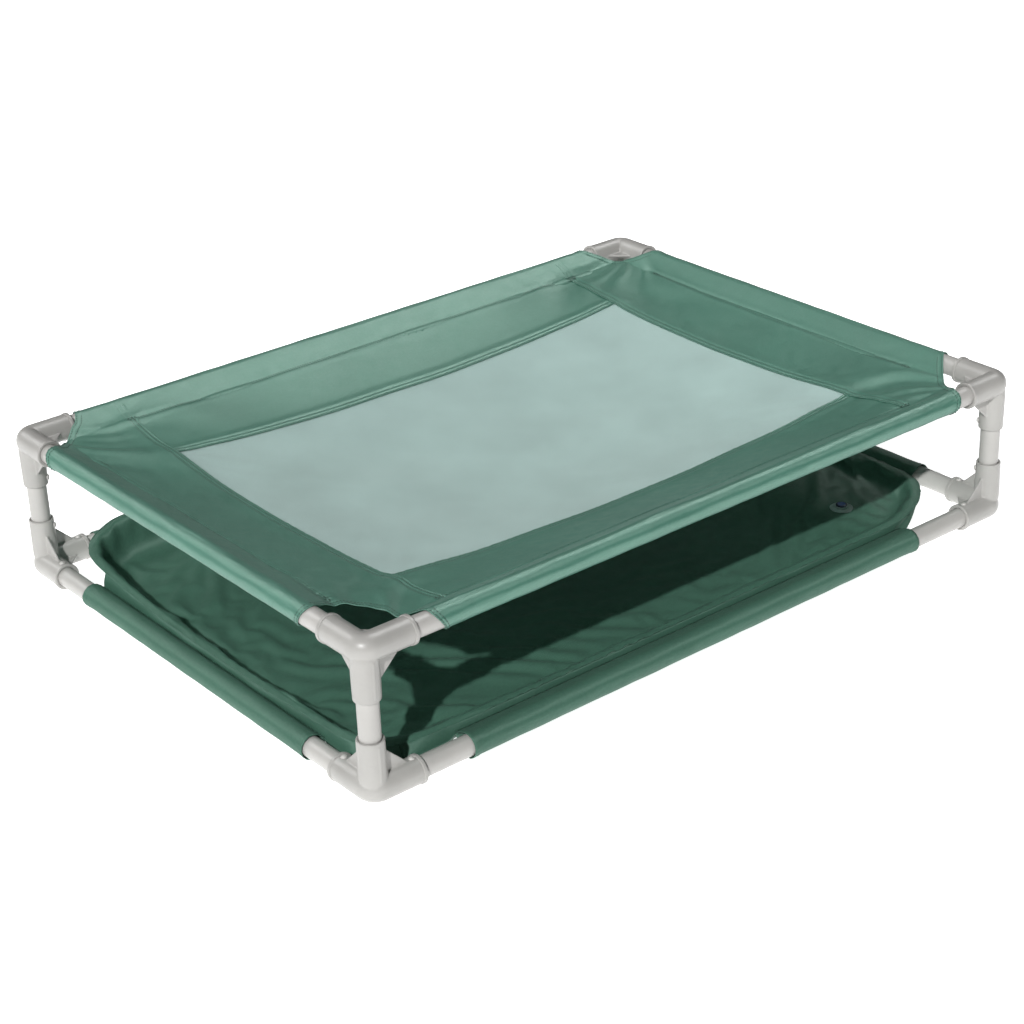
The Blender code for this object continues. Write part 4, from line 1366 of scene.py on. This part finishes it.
def skirt_grid(side, start, end, names, rows=200):
    """The strip from a sleeve's seam, down into the crease and up under the liner's rim."""
    inward, origin, axis = SIDES[side]
    first, last = SKIRT_PAST[(side, names[0])], SKIRT_PAST[(side, names[1])]
    foot = np.linspace(start - first[0], end + last[0], rows)
    top = np.linspace(start - first[1], end + last[1], rows)
    inside, rise = rim_along(side, top)
    seam, crease = np.array(SLEEVE_SEAM[side]), np.array(CREASE[side])
    brim = np.stack([inside + 0.0008, rise - 0.0008], axis=1)
    shares = np.concatenate([np.linspace(0, 1, 6), np.linspace(1, 2, 9)[1:]])
    grid = np.zeros((rows, len(shares), 3))
    for column, share in enumerate(shares):
        if share <= 1:
            section_points = seam * (1 - share) + crease * share + np.zeros((rows, 2))
            section_points[:, 1] += 0.0016 * math.sin(math.pi * share) * (side == "front")
            place = foot
        else:
            rest = share - 1
            section_points = crease * (1 - rest) + brim * rest
            section_points[:, 0] -= 0.0016 * math.sin(math.pi * rest)
            place = foot * (1 - rest) + top * rest
        past = np.maximum(start - foot, foot - end)
        section_points[:, 1] -= 0.0065 * smoothstep(-0.004, 0.012, past) * min(1, 2 - share)
        wave = 0.0007 * np.sin(place * 58 + 2.0 * share) * np.sin(place * 23 + 1.0)
        section_points[:, 0] += wave * min(share, 1)
        grid[:, column, 0:2] = origin + np.outer(section_points[:, 0], inward)
        grid[:, column, axis] = place
        grid[:, column, 2] = LOWER_Z + section_points[:, 1]
    return grid


def front_gusset(left, front):
    """Closes the front left corner between two skirts, clear of the fitting, up to the rim."""
    loop = np.roll(RIM_LINE, -int(np.argmax(RIM_LINE[:, 0] + RIM_LINE[:, 1])), axis=0)
    first, last = [int(np.argmin(np.hypot(*(loop[:, :2] - skirt[0, -1, :2]).T)))
                   for skirt in (left, front)]
    rim = loop[first:last + 1] if first < last else loop[last:first + 1][::-1]
    t = np.linspace(0, 1, GUSSET_COLUMNS)
    rim = np.stack([np.interp(t * (len(rim) - 1), np.arange(len(rim)), part) for part in rim.T],
                   axis=1)
    t = t[:, None]
    rim_bulge = rim - (rim[0] * (1 - t) + rim[-1] * t)
    foot_bulge = GUSSET_BULGE * 4 * t * (1 - t)
    rows = left.shape[1]
    grid = np.zeros((GUSSET_COLUMNS, rows, 3))
    for row, share in enumerate(np.linspace(0, 1, rows)):
        chord = left[0, row] * (1 - t) + front[0, row] * t
        grid[:, row] = chord + foot_bulge * (1 - share) + rim_bulge * share
    return grid


def add_basin_sleeves():
    skirts = {}
    for side, (_, _, axis) in SIDES.items():
        if axis == 0:
            names = (f"{side}_left", f"{side}_right")
            start = -HALF_X + BASIN_OPEN[names[0]][0]
            end = HALF_X - BASIN_OPEN[names[1]][0]
        else:
            names = (f"front_{side}", f"back_{side}")
            start = -HALF_Y + BASIN_OPEN[names[0]][1]
            end = HALF_Y - BASIN_OPEN[names[1]][1]
        positions = np.linspace(start, end, 220)
        ring = sleeve_grid(side, positions, None, (start, end), basin_section(side), LOWER_Z)
        skirt = skirt_grid(side, start, end, names)
        cloth = Sheet()
        cloth.add(ring, cloth_uv(ring))
        cloth.add(skirt, cloth_uv(skirt, 0.2))
        skirts[side] = skirt
        if side == "left":
            gusset = front_gusset(skirt, skirts["front"])
            cloth.add(gusset, cloth_uv(gusset, 0.2, 0.6))
        made = cloth.build(f"basin_sleeve_{side}_cloth")
        place_piece(made, LINER_VINYL, [f"basin_sleeve_{side}"])


def add_drain():
    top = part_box("drain_seat")[1].z
    base = top - 0.0042
    bore, collar, flange = 0.0070, 0.0093, 0.0165
    profile = rounded([(bore, -0.0075), (bore, 0.0042), (collar, 0.0042), (collar, 0.0012),
                       (flange, 0.0010), (flange, 0.0), (0.0095, 0.0), (0.0095, -0.0075),
                       (bore, -0.0075)], 0.0005)
    seat = new_object("drain_ring", smooth(turned("drain_ring", profile, 64), 50))
    seat.location = (DRAIN.x, DRAIN.y, base)
    place_piece(seat, SEAT_PLASTIC, ["drain_seat"])

    low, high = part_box("drain_plug")
    rise = high.z - low.z
    head, stem = 0.0078, 0.0066
    dish = [(0.00001, rise - 0.0008), (head * 0.45, rise - 0.0009), (head * 0.66, rise - 0.0006),
            (head * 0.74, rise)]
    outline = rounded([(head * 0.74, rise), (head, rise - 0.0003), (head, rise - 0.0020),
                       (stem, rise - 0.0021), (stem - 0.0004, 0.0), (0.00001, 0.0)], 0.0004)
    plug = new_object("drain_stopper", smooth(turned("drain_stopper", dish + outline, 64), 50))
    plug.location = (DRAIN.x, DRAIN.y, low.z)
    place_piece(plug, PLUG_RUBBER, ["drain_plug"], body="drain_plug")
    plug.data.materials.append(PLUG_RIM)
    for face in plug.data.polygons:
        if math.hypot(face.center.x, face.center.y) > head * 0.70:
            face.material_index = 1


# ------------------------------------------------------------------ stage

def add_stage():
    bm = bmesh.new()
    bmesh.ops.create_grid(bm, x_segments=1, y_segments=1, size=7.0)
    floor = new_object("floor", mesh_from(bm, "floor"))
    n = Nodes("floor_paper")
    n.set(Base_Color=(0.90, 0.90, 0.90, 1.0), Roughness=0.85)
    n.set(Emission_Color=(1.0, 1.0, 1.0, 1.0), Emission_Strength=0.95)
    dress(floor, n.material)

    world = bpy.data.worlds.new("studio")
    bpy.context.scene.world = world
    world.use_nodes = True
    nodes, link = world.node_tree.nodes, world.node_tree.links.new
    sky = nodes["Background"]
    direction = nodes.new("ShaderNodeTexCoord")
    parts = nodes.new("ShaderNodeSeparateXYZ")
    overhead = nodes.new("ShaderNodeMapRange")
    overhead.interpolation_type = "SMOOTHSTEP"
    for slot, number in zip(overhead.inputs[1:5], (0.42, 0.74, 0.40, 1.50)):
        slot.default_value = number
    link(direction.outputs["Generated"], parts.inputs[0])
    link(parts.outputs["Z"], overhead.inputs[0])
    link(overhead.outputs[0], sky.inputs["Strength"])

    for name, towards, energy, spread, lights_matt in SUNS:
        light = bpy.data.lights.new(name, "SUN")
        light.energy = energy
        light.angle = math.radians(spread)
        made = new_object(name, light)
        made.rotation_euler = Vector(towards).to_track_quat("-Z", "Y").to_euler()
        made.visible_diffuse = lights_matt


def add_camera():
    """The view from the front left, a little above, with a slight roll."""
    azimuth, elevation, roll = (math.radians(turn) for turn in CAMERA_TURNS)
    look = Vector((math.sin(azimuth) * math.cos(elevation), math.cos(azimuth) * math.cos(elevation),
                   -math.sin(elevation)))
    right = look.cross(UP).normalized()
    over = right.cross(look)
    right, over = (right * math.cos(roll) + over * math.sin(roll),
                   over * math.cos(roll) - right * math.sin(roll))
    data = bpy.data.cameras.new("camera")
    data.lens = CAMERA_LENS
    data.sensor_width = 36
    data.clip_end = 50
    made = new_object("camera", data)
    turn = Matrix((right, over, -look)).transposed().to_4x4()
    made.matrix_world = Matrix.Translation(CAMERA_PLACE) @ turn
    bpy.context.scene.camera = made
    bpy.context.scene.view_settings.view_transform = "Standard"


add_camera()
add_fittings()
add_pipes()
add_deck()
add_liner()
add_basin_sleeves()
add_drain()
add_stage()
